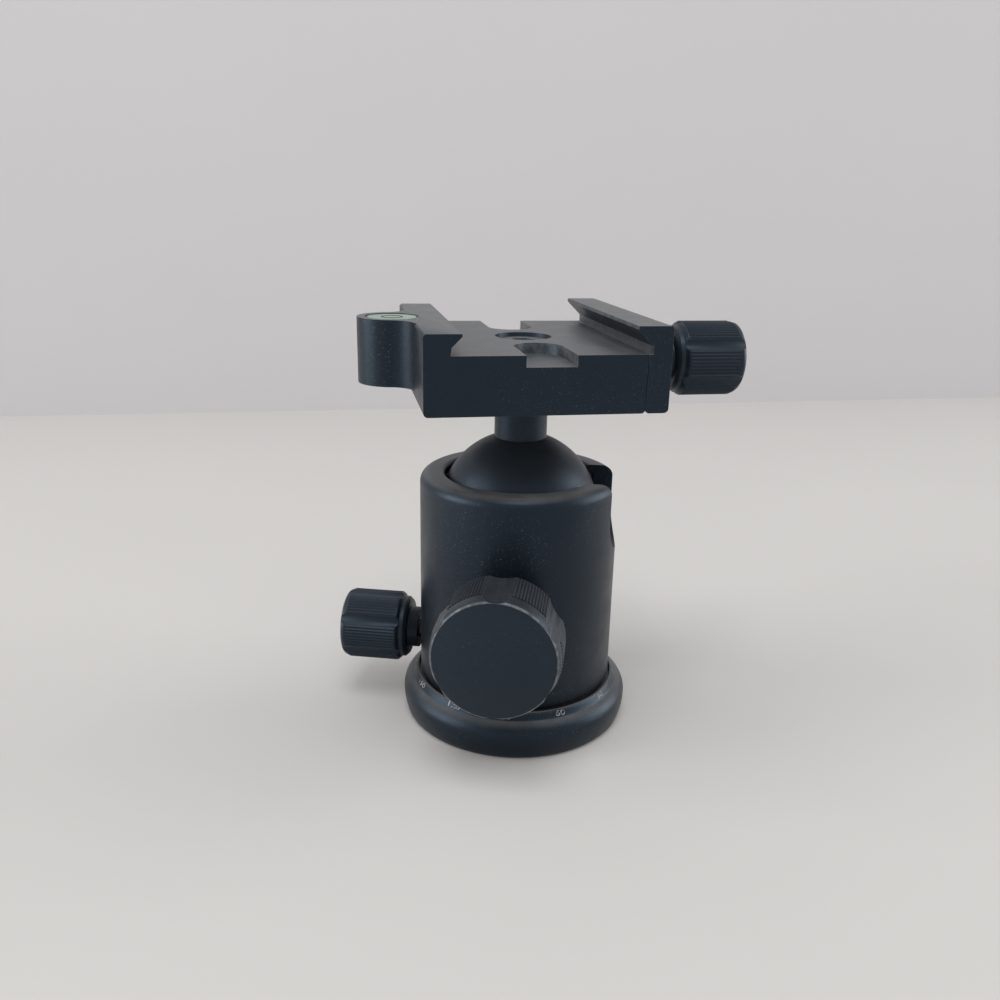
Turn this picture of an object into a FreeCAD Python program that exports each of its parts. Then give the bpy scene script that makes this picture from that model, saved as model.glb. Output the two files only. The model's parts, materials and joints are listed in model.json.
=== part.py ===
"""Tripod ball head with a pan base, a drop notch and a dovetail plate clamp.

Frame: millimetres, +Z up, origin at the centre of the base face. The plate channel
runs along Y and the clamp knob points to +X. The housing, with its lock knobs and
its notch, stands turned about Z by housing_turn at rest.

Every turned piece that lies across the head is drawn along its own +X and swung
into place about Z, so the knobs, screws, bushes and shoes share the same helpers.
"""

import FreeCAD, Part
import math
import os
import re

import Sketcher

# name, value, meaning
SIZES = (
    ("housing_turn", -17.6, "turn of the housing about Z against the clamp, degrees"),
    ("running_gap", 0.05, "radial and axial gap of a running fit"),
    ("seat_gap", 0.02, "gap round a piece that is pressed or screwed home"),
    ("free_gap", 0.3, "gap between pieces that never touch"),

    ("ball_radius", 17.67, "radius of the ball"),
    ("chamber_gap", 0.33, "room between the ball and its chamber"),
    ("body_wall", 4.0, "wall of the housing round the chamber"),

    ("base_widest_height", 5.2, "height of the widest ring"),
    ("base_round", 3.4, "radius of the rounded shoulder"),
    ("base_bulge", 2.25, "how far the base stands out past its scale"),
    ("base_foot_inset", 1.4, "how far its foot is drawn in again"),
    ("base_foot_chamfer", 0.6, "chamfer round the foot"),
    ("scale_lean", 0.8, "how far the degree scale leans in over its height"),
    ("groove_floor", 8.8, "height of the floor inside the lip"),
    ("lip_height", 1.2, "height of the lip over that floor"),
    ("lip_wall", 0.5, "thickness of the lip at its top"),
    ("lip_gap", 0.45, "gap between the lip and the housing"),
    ("hub_radius", 12.0, "radius of the hub that the pan brake grips"),

    ("bush_radius", 7.0, "outer radius of the tripod thread bush"),
    ("bush_top", 10.5, "height where the bush ends"),
    ("bush_cover", 1.5, "metal between the bush and the pan bolt"),
    ("tripod_thread_radius", 4.0, "wall radius of the 3/8-16 thread"),

    ("bolt_radius", 4.0, "shank radius of the pan bolt"),
    ("bolt_head_radius", 6.4, "head radius of the pan bolt"),
    ("bolt_head_height", 4.0, "head height of the pan bolt"),
    ("bolt_socket_radius", 2.9, "corner radius of its hexagon socket"),
    ("bolt_socket_depth", 2.4, "depth of that socket"),
    ("bolt_washer_radius", 7.6, "radius of the washer under the head"),
    ("bolt_washer_height", 0.5, "thickness of that washer"),
    ("thrust_height", 0.5, "thickness of the thrust washer on the hub"),
    ("bearing_inset", 0.6, "slide ring inside the edge of the housing"),
    ("bearing_width", 6.4, "width of the slide ring"),
    ("bearing_height", 0.95, "thickness of the slide ring"),

    ("body_chamfer", 0.7, "chamfer at the lower edge of the housing"),
    ("rim_over_ball", 8.9, "height of the rim over the ball centre"),
    ("rim_round", 2.3, "outer rounding of the rim"),
    ("rim_overhang", 1.5, "how far the rim reaches in over the chamber"),
    ("rim_inner_round", 0.9, "inner rounding of the rim"),
    ("rim_lip_height", 2.0, "depth of the lip over the upper seat"),
    ("plate_step", 0.4, "step that the floor plate rests against"),
    ("plate_height", 3.0, "thickness of the floor plate"),

    ("seat_height", 2.95, "height of the upper seat ring"),
    ("ball_sink", 0.37, "lowest point of the ball under the main lock axis"),
    ("cup_sink", 0.2, "underside of the lower cup under the main lock axis"),
    ("cup_reach", 8.2, "upper edge of the lower cup under the ball centre"),
    ("cup_hole_radius", 8.0, "hole in the lower cup"),
    ("notch_gap", 1.97, "room between the stem and a side of the drop notch"),
    ("seat_notch_gap", 0.5, "how far the seat ring stays clear of the notch"),

    ("main_screw_radius", 4.0, "radius of the main lock screw"),
    ("screw_chamfer", 0.8, "chamfer at the inner end of the main screw"),
    ("main_bush_radius", 5.6, "outer radius of the main lock bush"),
    ("main_bush_rise", 0.65, "gap between that bush and the floor plate"),
    ("bush_end_inset", 0.85, "depth of a lock bush under the housing surface"),
    ("wedge_room", 1.8, "room between the wedge and the chamber wall"),
    ("wedge_length", 4.2, "length of the wedge"),
    ("wedge_angle", 28.0, "slope of the wedge, degrees"),
    ("wedge_half_width", 5.0, "half width of the wedge"),
    ("disc_count", 4, "disc springs in the stack"),
    ("disc_wall", 0.6, "thickness of a disc spring"),
    ("disc_room", 0.6, "gap between the disc springs and the wedge"),
    ("disc_width", 3.2, "width of a disc spring"),

    ("knob_gap", 0.6, "gap between a lock knob and the housing"),
    ("main_neck_radius", 7.5, "neck of the main knob"),
    ("main_neck_length", 4.0, "length of that neck"),
    ("main_flare_length", 1.8, "length of the flare from the neck to the grip"),
    ("main_grip_length", 12.1, "length of the grip"),
    ("main_knob_radius", 12.8, "radius of the grip"),
    ("main_knob_shoulder", 6.0, "radius of the crown towards the front face"),
    ("main_crown_drop", 0.4, "how far that crown falls towards the front"),
    ("main_front_chamfer", 0.35, "chamfer round the front face"),
    ("main_screw_cover", 4.5, "metal of the knob in front of its screw"),
    ("main_scallop_depth", 0.75, "depth of a finger scallop"),
    ("main_scallop_radius", 7.5, "radius of a finger scallop"),
    ("knob_lands", 6, "lands round each knob"),
    ("set_screw_radius", 1.5, "radius of the set screw in a knob neck"),

    ("pan_knob_rise", 0.7, "lowest point of the pan knob over the floor of the lip"),
    ("pan_screw_radius", 2.5, "radius of the pan lock screw"),
    ("pan_bush_radius", 3.8, "outer radius of the pan lock bush"),
    ("shoe_length", 3.6, "brake shoe from the hub outwards"),
    ("shoe_half_width", 4.5, "half width of the brake shoe"),
    ("shoe_half_height", 3.4, "half height of the brake shoe"),
    ("shoe_margin", 0.6, "hub left over the brake shoe"),
    ("pan_neck_length", 2.3, "length of the neck of the pan knob"),

    ("knob_length", 15.4, "length of a small knob past its neck"),
    ("knob_radius", 7.9, "radius over its lands"),
    ("knob_neck_radius", 4.7, "radius of its neck"),
    ("knob_collar_radius", 7.1, "radius of the collar behind the lands"),
    ("knob_collar_length", 1.5, "length of that collar"),
    ("knob_edge", 0.7, "chamfer at the back of the lands and of the collar"),
    ("knob_round", 1.3, "rounding at the front of the lands"),
    ("knob_bore_depth", 5.6, "how far a screw goes in past the neck"),
    ("knob_groove_depth", 0.65, "depth of a groove between two lands"),
    ("knob_groove_radius", 1.55, "radius of that groove"),

    ("stem_radius", 5.73, "radius of the stem"),
    ("floor_over_ball", 38.5, "height of the channel floor over the ball centre"),
    ("clamp_depth", 11.3, "depth of the clamp under the channel floor"),
    ("clamp_length", 53.0, "length of the clamp along the channel"),
    ("clamp_edge", 0.9, "rounding of the lower edges"),
    ("top_edge", 0.45, "chamfer of the upper edges"),
    ("channel_half_width", 19.0, "half of the 38 mm dovetail"),
    ("fixed_jaw_wall", 5.0, "fixed jaw outside the channel"),
    ("fixed_jaw_height", 4.0, "height of the fixed jaw over the floor"),
    ("fixed_jaw_reach", 2.2, "how far the fixed jaw reaches in over the dovetail"),
    ("tip_flat", 0.5, "upright face at a jaw tip"),
    ("undercut_height", 1.5, "height of the root of the dovetail"),
    ("parting_inset", 0.4, "parting line inside the edge of the channel"),
    ("pocket_half_width", 4.9, "half width of a stop pocket in the floor"),
    ("pocket_length", 16.4, "length of that pocket"),
    ("pocket_depth", 2.2, "depth of that pocket"),
    ("counterbore_radius", 6.0, "radius of the counterbore"),
    ("counterbore_depth", 6.0, "depth of the counterbore"),
    ("clamp_screw_radius", 3.0, "shank radius of the clamp screw"),
    ("clamp_screw_reach", 8.0, "how far the clamp screw goes into the stem"),
    ("clamp_head_radius", 5.6, "head radius of the clamp screw"),
    ("clamp_head_height", 5.2, "head height of the clamp screw"),
    ("head_chamfer", 0.4, "chamfer round that head"),
    ("clamp_socket_radius", 2.9, "corner radius of its hexagon socket"),

    ("level_offset", 3.5, "centre of the level boss outside the clamp"),
    ("level_along", 1.5, "centre of the level boss along the clamp"),
    ("boss_radius", 7.25, "radius of the level boss"),
    ("boss_blend", 5.0, "hollow blend from the boss into the side"),
    ("boss_round", 1.8, "underside of the boss over the underside of the clamp"),
    ("level_pocket_radius", 5.6, "radius of the level pocket"),
    ("level_pocket_depth", 6.5, "depth of the level pocket"),
    ("level_wall", 0.8, "floor thickness of the level cup"),
    ("level_side", 0.5, "wall of the level cup"),
    ("level_inset", 0.12, "depth of the level under the boss face"),
    ("lens_height", 1.2, "thickness of the clear lens"),
    ("bubble_radius", 1.5, "radius of the bubble"),
    ("ring_radius", 2.1, "radius of the printed ring"),
    ("ring_width", 0.3, "width of the printed ring"),
    ("ring_height", 0.06, "thickness of the printed ring"),

    ("jaw_gap", 0.15, "gap at the parting line when closed"),
    ("jaw_wall", 4.3, "moving jaw outside the channel"),
    ("jaw_height", 5.3, "height of the moving jaw over the floor"),
    ("jaw_reach", 2.6, "how far the moving jaw reaches in over the dovetail"),
    ("jaw_relief", 0.5, "root of the moving dovetail outside the channel"),
    ("jaw_axis_depth", 5.0, "depth of the jaw screw under the floor"),
    ("jaw_screw_radius", 3.0, "radius of the jaw screw"),
    ("jaw_screw_margin", 1.4, "metal between the counterbore and the jaw screw"),
    ("clip_radius", 4.6, "outer radius of the retaining clip"),
    ("clip_height", 0.8, "thickness of the retaining clip"),
    ("washer_radius", 6.2, "outer radius of the knob washer"),
    ("washer_height", 0.8, "thickness of the knob washer"),
    ("jaw_neck_length", 8.3, "length of the neck of the clamp knob"),
    ("pin_inset", 9.5, "guide pins from the ends of the clamp"),
    ("pin_depth", 6.5, "depth of the guide pins under the floor"),
    ("pin_radius", 1.75, "radius of a guide pin"),
    ("pin_length", 14.9, "length of a guide pin"),
    ("pin_cover", 0.9, "jaw metal left outside a guide pin"),
    ("jaw_spring_room", 5.6, "depth of the pocket for a jaw spring"),
    ("jaw_spring_radius", 2.45, "mean radius of a jaw spring"),
    ("jaw_spring_wire", 0.35, "wire radius of a jaw spring"),
)

# name: the formula of a size that follows from the sizes above
FOLLOWING = {
    "main_turn": "housing_turn - 90",
    "pan_turn": "housing_turn + 180",

    "main_front_radius": "main_knob_radius - main_crown_drop",
    "chamber_radius": "ball_radius + chamber_gap",
    "body_radius": "chamber_radius + body_wall",
    "pan_chamber_radius": "chamber_radius + plate_step",
    "rim_inner_radius": "chamber_radius - rim_overhang",
    "scale_top_radius": "body_radius + lip_gap + lip_wall",
    "scale_foot_radius": "scale_top_radius + scale_lean",
    "base_radius": "scale_foot_radius + base_bulge",
    "base_foot_radius": "base_radius - base_foot_inset",
    "bearing_outer_radius": "body_radius - bearing_inset",
    "bearing_inner_radius": "bearing_outer_radius - bearing_width",

    "bolt_bottom": "bush_top + bush_cover",
    "scale_top_height": "groove_floor + lip_height",
    "housing_bottom": "groove_floor + bearing_height + running_gap",
    "pan_axis_height": "groove_floor + pan_knob_rise + knob_radius",
    "hub_top": "pan_axis_height + shoe_half_height + shoe_margin",
    "plate_bottom": "hub_top + thrust_height + running_gap",
    "plate_top": "plate_bottom + plate_height",
    "washer_bottom": "plate_top + running_gap",
    "head_bottom": "washer_bottom + bolt_washer_height",
    "main_axis_height": "plate_top + main_bush_rise + main_bush_radius",
    "ball_height": "main_axis_height - ball_sink + ball_radius",
    "cup_bottom": "main_axis_height - cup_sink",
    "cup_top": "ball_height - cup_reach",
    "rim_top": "ball_height + rim_over_ball",
    "floor_height": "ball_height + floor_over_ball",
    "clamp_bottom": "floor_height - clamp_depth",
    "clamp_screw_bottom": "clamp_bottom - clamp_screw_reach",

    "notch_half_width": "stem_radius + notch_gap",
    "wedge_outer": "chamber_radius - wedge_room",
    "wedge_inner": "wedge_outer - wedge_length",
    "disc_outer_radius": "wedge_inner - disc_room",
    "disc_inner_radius": "disc_outer_radius - disc_width",
    "shoe_outer": "hub_radius + shoe_length",
    "knob_root": "body_radius + knob_gap",
    "main_neck_end": "knob_root + main_neck_length",
    "main_knob_back": "main_neck_end + main_flare_length",
    "main_knob_front": "main_knob_back + main_grip_length",
    "main_screw_end": "main_knob_front - main_screw_cover",
    "pan_knob_shoulder": "knob_root + pan_neck_length",

    "clamp_side": "channel_half_width + fixed_jaw_wall",
    "fixed_jaw_tip": "channel_half_width - fixed_jaw_reach",
    "parting_side": "channel_half_width - parting_inset",
    "jaw_face": "parting_side + jaw_gap",
    "jaw_side": "channel_half_width + jaw_wall",
    "jaw_tip": "channel_half_width - jaw_reach",
    "jaw_root": "channel_half_width + jaw_relief",
    "jaw_axis_height": "floor_height - jaw_axis_depth",
    "jaw_screw_start": "counterbore_radius + jaw_screw_margin",
    "clip_start": "jaw_face + clip_height / 2",
    "jaw_knob_root": "jaw_side + 2 * running_gap + washer_height",
    "jaw_knob_shoulder": "jaw_knob_root + jaw_neck_length",
    "pin_along": "clamp_length / 2 - pin_inset",
    "pin_start": "jaw_side - pin_cover - pin_length",
    "jaw_spring_start": "parting_side - jaw_spring_room",

    "level_across": "-(clamp_side + level_offset)",
    "level_radius": "level_pocket_radius - level_side",
    "level_top": "floor_height + fixed_jaw_height - level_inset",
    "level_bottom": "floor_height + fixed_jaw_height - level_pocket_depth + seat_gap",
    "fluid_bottom": "level_bottom + level_wall",
    "fluid_top": "level_top - lens_height",
}

ALIASES = {name for name, _, _ in SIZES}
WORD = re.compile(r"[a-z][a-z0-9_]*")
UP = FreeCAD.Vector(0, 0, 1)

DOC = FreeCAD.newDocument("BallHead")
SHEET = DOC.addObject("Spreadsheet::Sheet", "Sizes")
PIECES = []


def fill_sheet():
    """Write every driving size into the sheet under its own alias."""
    for row, (name, value, meaning) in enumerate(SIZES, start=1):
        SHEET.set(f"A{row}", name)
        SHEET.set(f"B{row}", str(value))
        SHEET.setAlias(f"B{row}", name)
        SHEET.set(f"C{row}", meaning)
    DOC.recompute()


def spell_out(text):
    """A formula with every size that follows written in sizes of the sheet."""
    def swap(match):
        word = match.group(0)
        return f"({spell_out(FOLLOWING[word])})" if word in FOLLOWING else word

    return WORD.sub(swap, text)


def number(text):
    """The value that a formula of sizes has now."""
    return float(SHEET.evalExpression(spell_out(text)))


def bind(target, prop, text):
    """Tie one property to a formula of sizes."""
    def qualify(match):
        word = match.group(0)
        return "Sizes." + word if word in ALIASES else word

    target.setExpression(prop, WORD.sub(qualify, spell_out(text)))


def place(piece, height="0", turn="0", across="0", along="0"):
    """Stand a piece at a height and a turn about Z, and list it for export."""
    piece.Placement = FreeCAD.Placement(FreeCAD.Vector(), FreeCAD.Rotation(UP, number(turn)))
    bind(piece, "Placement.Base.x", across)
    bind(piece, "Placement.Base.y", along)
    bind(piece, "Placement.Base.z", height)
    if number(turn):
        bind(piece, "Placement.Rotation.Angle", turn)
    PIECES.append(piece)
    return piece


def new_body(label):
    """An empty body that carries the name of its piece."""
    body = DOC.addObject("PartDesign::Body", "Body_" + label)
    body.Label = label
    return body


def new_sketch(body, role):
    """A sketch on one of the body's own origin planes."""
    sketch = body.newObject("Sketcher::SketchObject", "Sketch_" + body.Label)
    plane = next(item for item in body.Origin.OriginFeatures if item.Role == role)
    sketch.AttachmentSupport = [(plane, "")]
    sketch.MapMode = "FlatFace"
    return sketch


def fix(sketch, kind, geometry, point, text):
    """Tie one coordinate of a point to a formula."""
    index = sketch.addConstraint(
        Sketcher.Constraint(kind, -1, 1, geometry, point, number(text)))
    bind(sketch, f"Constraints[{index}]", text)


def arc_between(start, end, centre, turn):
    """The arc round a centre from start to end, and which ends are which."""
    first, last = (start, end) if turn > 0 else (end, start)
    angles = [math.atan2(point.y - centre.y, point.x - centre.x) for point in (first, last)]
    if angles[1] <= angles[0]:
        angles[1] += 2 * math.pi
    circle = Part.Circle(centre, UP, centre.distanceToPoint(first))
    ends = (1, 2) if turn > 0 else (2, 1)
    return Part.ArcOfCircle(circle, angles[0], angles[1]), ends


def draw_outline(sketch, corners):
    """Draw a closed outline whose corners are formulas.

    A corner is (x, y), or (x, y, centre x, centre y, turn) where an arc leads on
    to the next corner, with turn 1 for anticlockwise and -1 for clockwise.
    """
    points = [FreeCAD.Vector(number(corner[0]), number(corner[1]), 0) for corner in corners]
    ends = []
    first = sketch.GeometryCount
    for index, corner in enumerate(corners):
        start = points[index]
        end = points[(index + 1) % len(points)]
        if len(corner) == 2:
            sketch.addGeometry(Part.LineSegment(start, end), False)
            ends.append((1, 2))
        else:
            centre = FreeCAD.Vector(number(corner[2]), number(corner[3]), 0)
            arc, sides = arc_between(start, end, centre, corner[4])
            sketch.addGeometry(arc, False)
            ends.append(sides)
    for index, corner in enumerate(corners):
        geometry = first + index
        following = (index + 1) % len(corners)
        sketch.addConstraint(Sketcher.Constraint(
            "Coincident", geometry, ends[index][1], first + following, ends[following][0]))
        fix(sketch, "DistanceX", geometry, ends[index][0], corner[0])
        fix(sketch, "DistanceY", geometry, ends[index][0], corner[1])
        if len(corner) > 2:
            chord = points[following] - points[index]
            if abs(chord.y) > abs(chord.x):
                fix(sketch, "DistanceX", geometry, 3, corner[2])
            else:
                fix(sketch, "DistanceY", geometry, 3, corner[3])


def draw_circle(sketch, across, up, radius):
    """Draw one circle whose centre and radius are formulas."""
    centre = FreeCAD.Vector(number(across), number(up), 0)
    geometry = sketch.addGeometry(Part.Circle(centre, UP, number(radius)), False)
    fix(sketch, "DistanceX", geometry, 3, across)
    fix(sketch, "DistanceY", geometry, 3, up)
    index = sketch.addConstraint(Sketcher.Constraint("Radius", geometry, number(radius)))
    bind(sketch, f"Constraints[{index}]", radius)


def draw_hexagon(sketch, radius):
    """Draw a hexagon socket round the origin."""
    draw_outline(sketch, [
        (f"({radius}) * cos({60 * side})", f"({radius}) * sin({60 * side})")
        for side in range(6)])


def revolve(body, role, corners, axis):
    """Turn an outline round the X axis (H_Axis) or the upright axis (V_Axis)."""
    sketch = new_sketch(body, role)
    draw_outline(sketch, corners)
    turned = body.newObject("PartDesign::Revolution", "Turned_" + body.Label)
    turned.Profile = sketch
    turned.ReferenceAxis = (sketch, [axis])
    turned.Angle = 360
    DOC.recompute()
    return turned


def turn_upright(label, corners):
    """A body of revolution about Z, from corners of (radius, height)."""
    body = new_body(label)
    revolve(body, "XZ_Plane", corners, "V_Axis")
    return body


def turn_across(label, corners):
    """A body of revolution about X, from corners of (distance, radius)."""
    body = new_body(label)
    revolve(body, "XY_Plane", corners, "H_Axis")
    return body


def tube_across(label, start, end, inner, outer):
    """A plain bush, washer or screw along X; inner is 0 for a solid one."""
    return turn_across(label, [(start, inner), (end, inner), (end, outer), (start, outer)])


def tube_upright(label, bottom, top, inner, outer):
    """A plain bush or washer about Z; inner is 0 for a solid one."""
    return turn_upright(label, [(inner, bottom), (outer, bottom), (outer, top), (inner, top)])


def pad(body, sketch, length, both_ways=False):
    """Raise a sketch into a solid."""
    raised = body.newObject("PartDesign::Pad", "Pad_" + body.Label)
    raised.Profile = sketch
    raised.Midplane = both_ways
    bind(raised, "Length", length)
    DOC.recompute()
    return raised


def pocket(body, sketch, length, forward=False, both_ways=False):
    """Cut a sketch into the body, against the plane's normal or along it."""
    before = body.Shape.Volume
    cut = body.newObject("PartDesign::Pocket", "Pocket_" + body.Label)
    cut.Profile = sketch
    cut.Midplane = both_ways
    cut.Reversed = forward
    bind(cut, "Length", length)
    DOC.recompute()
    if body.Shape.Volume > before - 1e-4:
        raise RuntimeError(f"a pocket in {body.Label} cuts nothing")
    return cut


def drill(body, role, across, up, radius, depth, offset=None, forward=False):
    """Drill a round hole square to one of the origin planes."""
    sketch = new_sketch(body, role)
    draw_circle(sketch, across, up, radius)
    if offset:
        bind(sketch, "AttachmentOffset.Base.z", offset)
    return pocket(body, sketch, depth, forward)


def repeat_round(body, feature, role, count):
    """Repeat a feature evenly round one of the body's own axes."""
    pattern = body.newObject("PartDesign::PolarPattern", "Round_" + body.Label)
    pattern.Originals = [feature]
    axis = next(item for item in body.Origin.OriginFeatures if item.Role == role)
    pattern.Axis = (axis, [""])
    pattern.Angle = 360
    bind(pattern, "Occurrences", count)
    body.Tip = pattern
    DOC.recompute()
    return pattern


def mirror_feature(body, features, role):
    """Repeat features on the other side of one of the body's own planes."""
    before = body.Shape.Volume
    mirrored = body.newObject("PartDesign::Mirrored", "Mirror_" + body.Label)
    mirrored.Originals = features
    plane = next(item for item in body.Origin.OriginFeatures if item.Role == role)
    mirrored.MirrorPlane = (plane, [""])
    body.Tip = mirrored
    DOC.recompute()
    if abs(body.Shape.Volume - before) < 1e-4:
        raise RuntimeError(f"a mirror in {body.Label} adds nothing")
    return mirrored


def on_sphere(distance):
    """Half chord of the ball seat at a distance from the ball centre."""
    return f"sqrt((ball_radius + running_gap)^2 - ({distance})^2)"


# The pan base and what is fixed in it

def make_pan_base():
    """The flange with its rounded ring, scale lip and brake hub, in one piece."""
    shoulder = ("base_widest_height + sqrt(base_round^2"
                " - (scale_foot_radius - base_radius + base_round)^2)")
    foot = "(base_foot_radius + base_foot_chamfer)"
    bulge = (f"(((base_radius - {foot})^2 + (base_widest_height - base_foot_chamfer)^2)"
             f" / (2 * (base_radius - {foot})))")
    body = turn_upright("pan_base", [
        ("bush_radius", "0"),
        ("base_foot_radius", "0"),
        (foot, "base_foot_chamfer", f"base_radius - {bulge}", "base_widest_height", 1),
        ("base_radius", "base_widest_height",
         "base_radius - base_round", "base_widest_height", 1),
        ("scale_foot_radius", shoulder),
        ("scale_top_radius", "scale_top_height"),
        ("scale_top_radius - lip_wall", "scale_top_height"),
        ("scale_top_radius - lip_wall", "groove_floor"),
        ("hub_radius", "groove_floor"),
        ("hub_radius", "hub_top"),
        ("bolt_radius + seat_gap", "hub_top"),
        ("bolt_radius + seat_gap", "bolt_bottom"),
        ("0", "bolt_bottom"),
        ("0", "bush_top"),
        ("bush_radius", "bush_top"),
    ])
    return place(body)


def make_tripod_bush():
    """The steel bush that takes the tripod's screw."""
    return place(tube_upright("tripod_bush", "0", "bush_top",
                              "tripod_thread_radius", "bush_radius - seat_gap"))


def make_slide_ring():
    """The plastic ring that the housing turns on."""
    return place(tube_upright("slide_ring", "groove_floor", "groove_floor + bearing_height",
                              "bearing_inner_radius", "bearing_outer_radius"))


def make_thrust_washer():
    """The washer between the hub and the floor plate."""
    return place(tube_upright("thrust_washer", "hub_top", "hub_top + thrust_height",
                              "bolt_radius + free_gap", "hub_radius - free_gap"))


def make_pan_bolt():
    """The shoulder bolt that holds the housing down on the hub."""
    body = turn_upright("pan_bolt", [
        ("0", "bolt_bottom"),
        ("bolt_radius", "bolt_bottom"),
        ("bolt_radius", "head_bottom"),
        ("bolt_head_radius", "head_bottom"),
        ("bolt_head_radius", "head_bottom + bolt_head_height"),
        ("0", "head_bottom + bolt_head_height"),
    ])
    socket = new_sketch(body, "XY_Plane")
    draw_hexagon(socket, "bolt_socket_radius")
    bind(socket, "AttachmentOffset.Base.z", "head_bottom + bolt_head_height")
    pocket(body, socket, "bolt_socket_depth")
    return place(body)


def make_bolt_washer():
    """The washer under the head of the pan bolt."""
    return place(tube_upright("bolt_washer", "washer_bottom", "head_bottom",
                              "bolt_radius + running_gap", "bolt_washer_radius"))


# The housing and what is fixed in it

def make_housing():
    """The barrel with its rounded rim, drop notch and two lock holes."""
    body = turn_upright("housing", [
        ("pan_chamber_radius", "housing_bottom"),
        ("body_radius - body_chamfer", "housing_bottom"),
        ("body_radius", "housing_bottom + body_chamfer"),
        ("body_radius", "rim_top - rim_round",
         "body_radius - rim_round", "rim_top - rim_round", 1),
        ("body_radius - rim_round", "rim_top"),
        ("rim_inner_radius + rim_inner_round", "rim_top",
         "rim_inner_radius + rim_inner_round", "rim_top - rim_inner_round", 1),
        ("rim_inner_radius", "rim_top - rim_inner_round"),
        ("rim_inner_radius", "rim_top - rim_lip_height"),
        ("chamber_radius", "rim_top - rim_lip_height"),
        ("chamber_radius", "plate_top"),
        ("pan_chamber_radius", "plate_top"),
    ])
    notch = new_sketch(body, "YZ_Plane")
    draw_notch(notch, "notch_half_width")
    pocket(body, notch, "2 * body_radius", forward=True)
    drill(body, "XZ_Plane", "0", "main_axis_height", "main_bush_radius", "2 * body_radius",
          forward=True)
    drill(body, "YZ_Plane", "0", "pan_axis_height", "pan_bush_radius", "2 * body_radius")
    return place(body, turn="housing_turn")


def draw_notch(sketch, half_width):
    """Draw the notch: a slot, round at the height of the ball centre, open above."""
    draw_outline(sketch, [
        (half_width, "rim_top + free_gap"),
        (f"-({half_width})", "rim_top + free_gap"),
        (f"-({half_width})", "ball_height", "0", "ball_height", 1),
        (half_width, "ball_height"),
    ])


def make_floor_plate():
    """The plate that closes the ball chamber from below."""
    return place(tube_upright("floor_plate", "plate_bottom", "plate_top",
                              "bolt_radius + running_gap", "pan_chamber_radius - seat_gap"),
                 turn="housing_turn")


def make_seat_ring():
    """The upper seat, a ball socket ring that is open at the notch."""
    bottom = "(rim_top - rim_lip_height - seat_height)"
    top = "(rim_top - rim_lip_height)"
    body = turn_upright("seat_ring", [
        ("chamber_radius - seat_gap", bottom),
        ("chamber_radius - seat_gap", top),
        (on_sphere(f"{top} - ball_height"), top, "0", "ball_height", -1),
        (on_sphere(f"{bottom} - ball_height"), bottom),
    ])
    notch = new_sketch(body, "YZ_Plane")
    draw_notch(notch, "notch_half_width + seat_notch_gap")
    pocket(body, notch, "2 * body_radius", forward=True)
    return place(body, turn="housing_turn")


def make_lock_bush(label, screw_radius, bush_radius, chamber, height, turn):
    """A brass bush in the housing wall, flush with the chamber."""
    end = f"sqrt(body_radius^2 - ({bush_radius})^2) - bush_end_inset"
    body = tube_across(label, chamber, end, f"{screw_radius} + running_gap",
                       f"{bush_radius} - seat_gap")
    return place(body, height, turn)


# The main lock: knob, screw, wedge and lower cup

def make_lower_cup():
    """The cup under the ball, with the ramp that the wedge drives."""
    body = turn_upright("lower_cup", [
        ("cup_hole_radius", "cup_bottom"),
        ("chamber_radius - running_gap", "cup_bottom"),
        ("chamber_radius - running_gap", "cup_top"),
        (on_sphere("ball_height - cup_top"), "cup_top", "0", "ball_height", -1),
        ("cup_hole_radius", f"ball_height - {on_sphere('cup_hole_radius')}"),
    ])
    slot = new_sketch(body, "XZ_Plane")
    step = "(wedge_outer - free_gap)"
    draw_outline(slot, [
        ("wedge_inner", "cup_bottom - free_gap"),
        ("chamber_radius + free_gap", "cup_bottom - free_gap"),
        ("chamber_radius + free_gap", "main_axis_height + main_screw_radius + 2 * free_gap"),
        (step, "main_axis_height + main_screw_radius + 2 * free_gap"),
        (step, f"cup_bottom + ({step} - wedge_inner) * tan(wedge_angle)"),
        ("wedge_inner", "cup_bottom"),
    ])
    pocket(body, slot, "2 * (wedge_half_width + 4 * free_gap)", both_ways=True)
    return place(body, turn="main_turn")


def make_pressure_wedge():
    """The wedge that the main screw pushes under the cup."""
    body = new_body("pressure_wedge")
    side = new_sketch(body, "XZ_Plane")
    inner = "(wedge_inner + 2 * running_gap)"
    bottom = "plate_top + running_gap"
    draw_outline(side, [
        (inner, bottom),
        ("wedge_outer", bottom),
        ("wedge_outer", "cup_bottom - running_gap + (wedge_outer - wedge_inner) * tan(wedge_angle)"),
        (inner, f"cup_bottom - running_gap + ({inner} - wedge_inner) * tan(wedge_angle)"),
    ])
    pad(body, side, "2 * wedge_half_width", both_ways=True)
    return place(body, turn="main_turn")


def gather(label, members):
    """One piece out of several separate solids."""
    group = DOC.addObject("Part::Compound", "Group_" + label)
    group.Label = label
    group.Links = members
    return group


def make_disc_springs():
    """The stack of disc springs that keeps the cup on the ball when unlocked."""
    room = "(cup_bottom - plate_top - 2 * running_gap)"
    pitch = f"({room} / disc_count)"
    lift = f"({pitch} - disc_wall)"
    discs = []
    for index in range(int(number("disc_count"))):
        bottom = f"(plate_top + running_gap + {index} * {pitch})"
        inner_lift, outer_lift = (lift, "0") if index % 2 == 0 else ("0", lift)
        discs.append(turn_upright(f"disc_{index}", [
            ("disc_inner_radius", f"{bottom} + {inner_lift}"),
            ("disc_outer_radius", f"{bottom} + {outer_lift}"),
            ("disc_outer_radius", f"{bottom} + {outer_lift} + disc_wall"),
            ("disc_inner_radius", f"{bottom} + {inner_lift} + disc_wall"),
        ]))
    return place(gather("disc_springs", discs))


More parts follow.
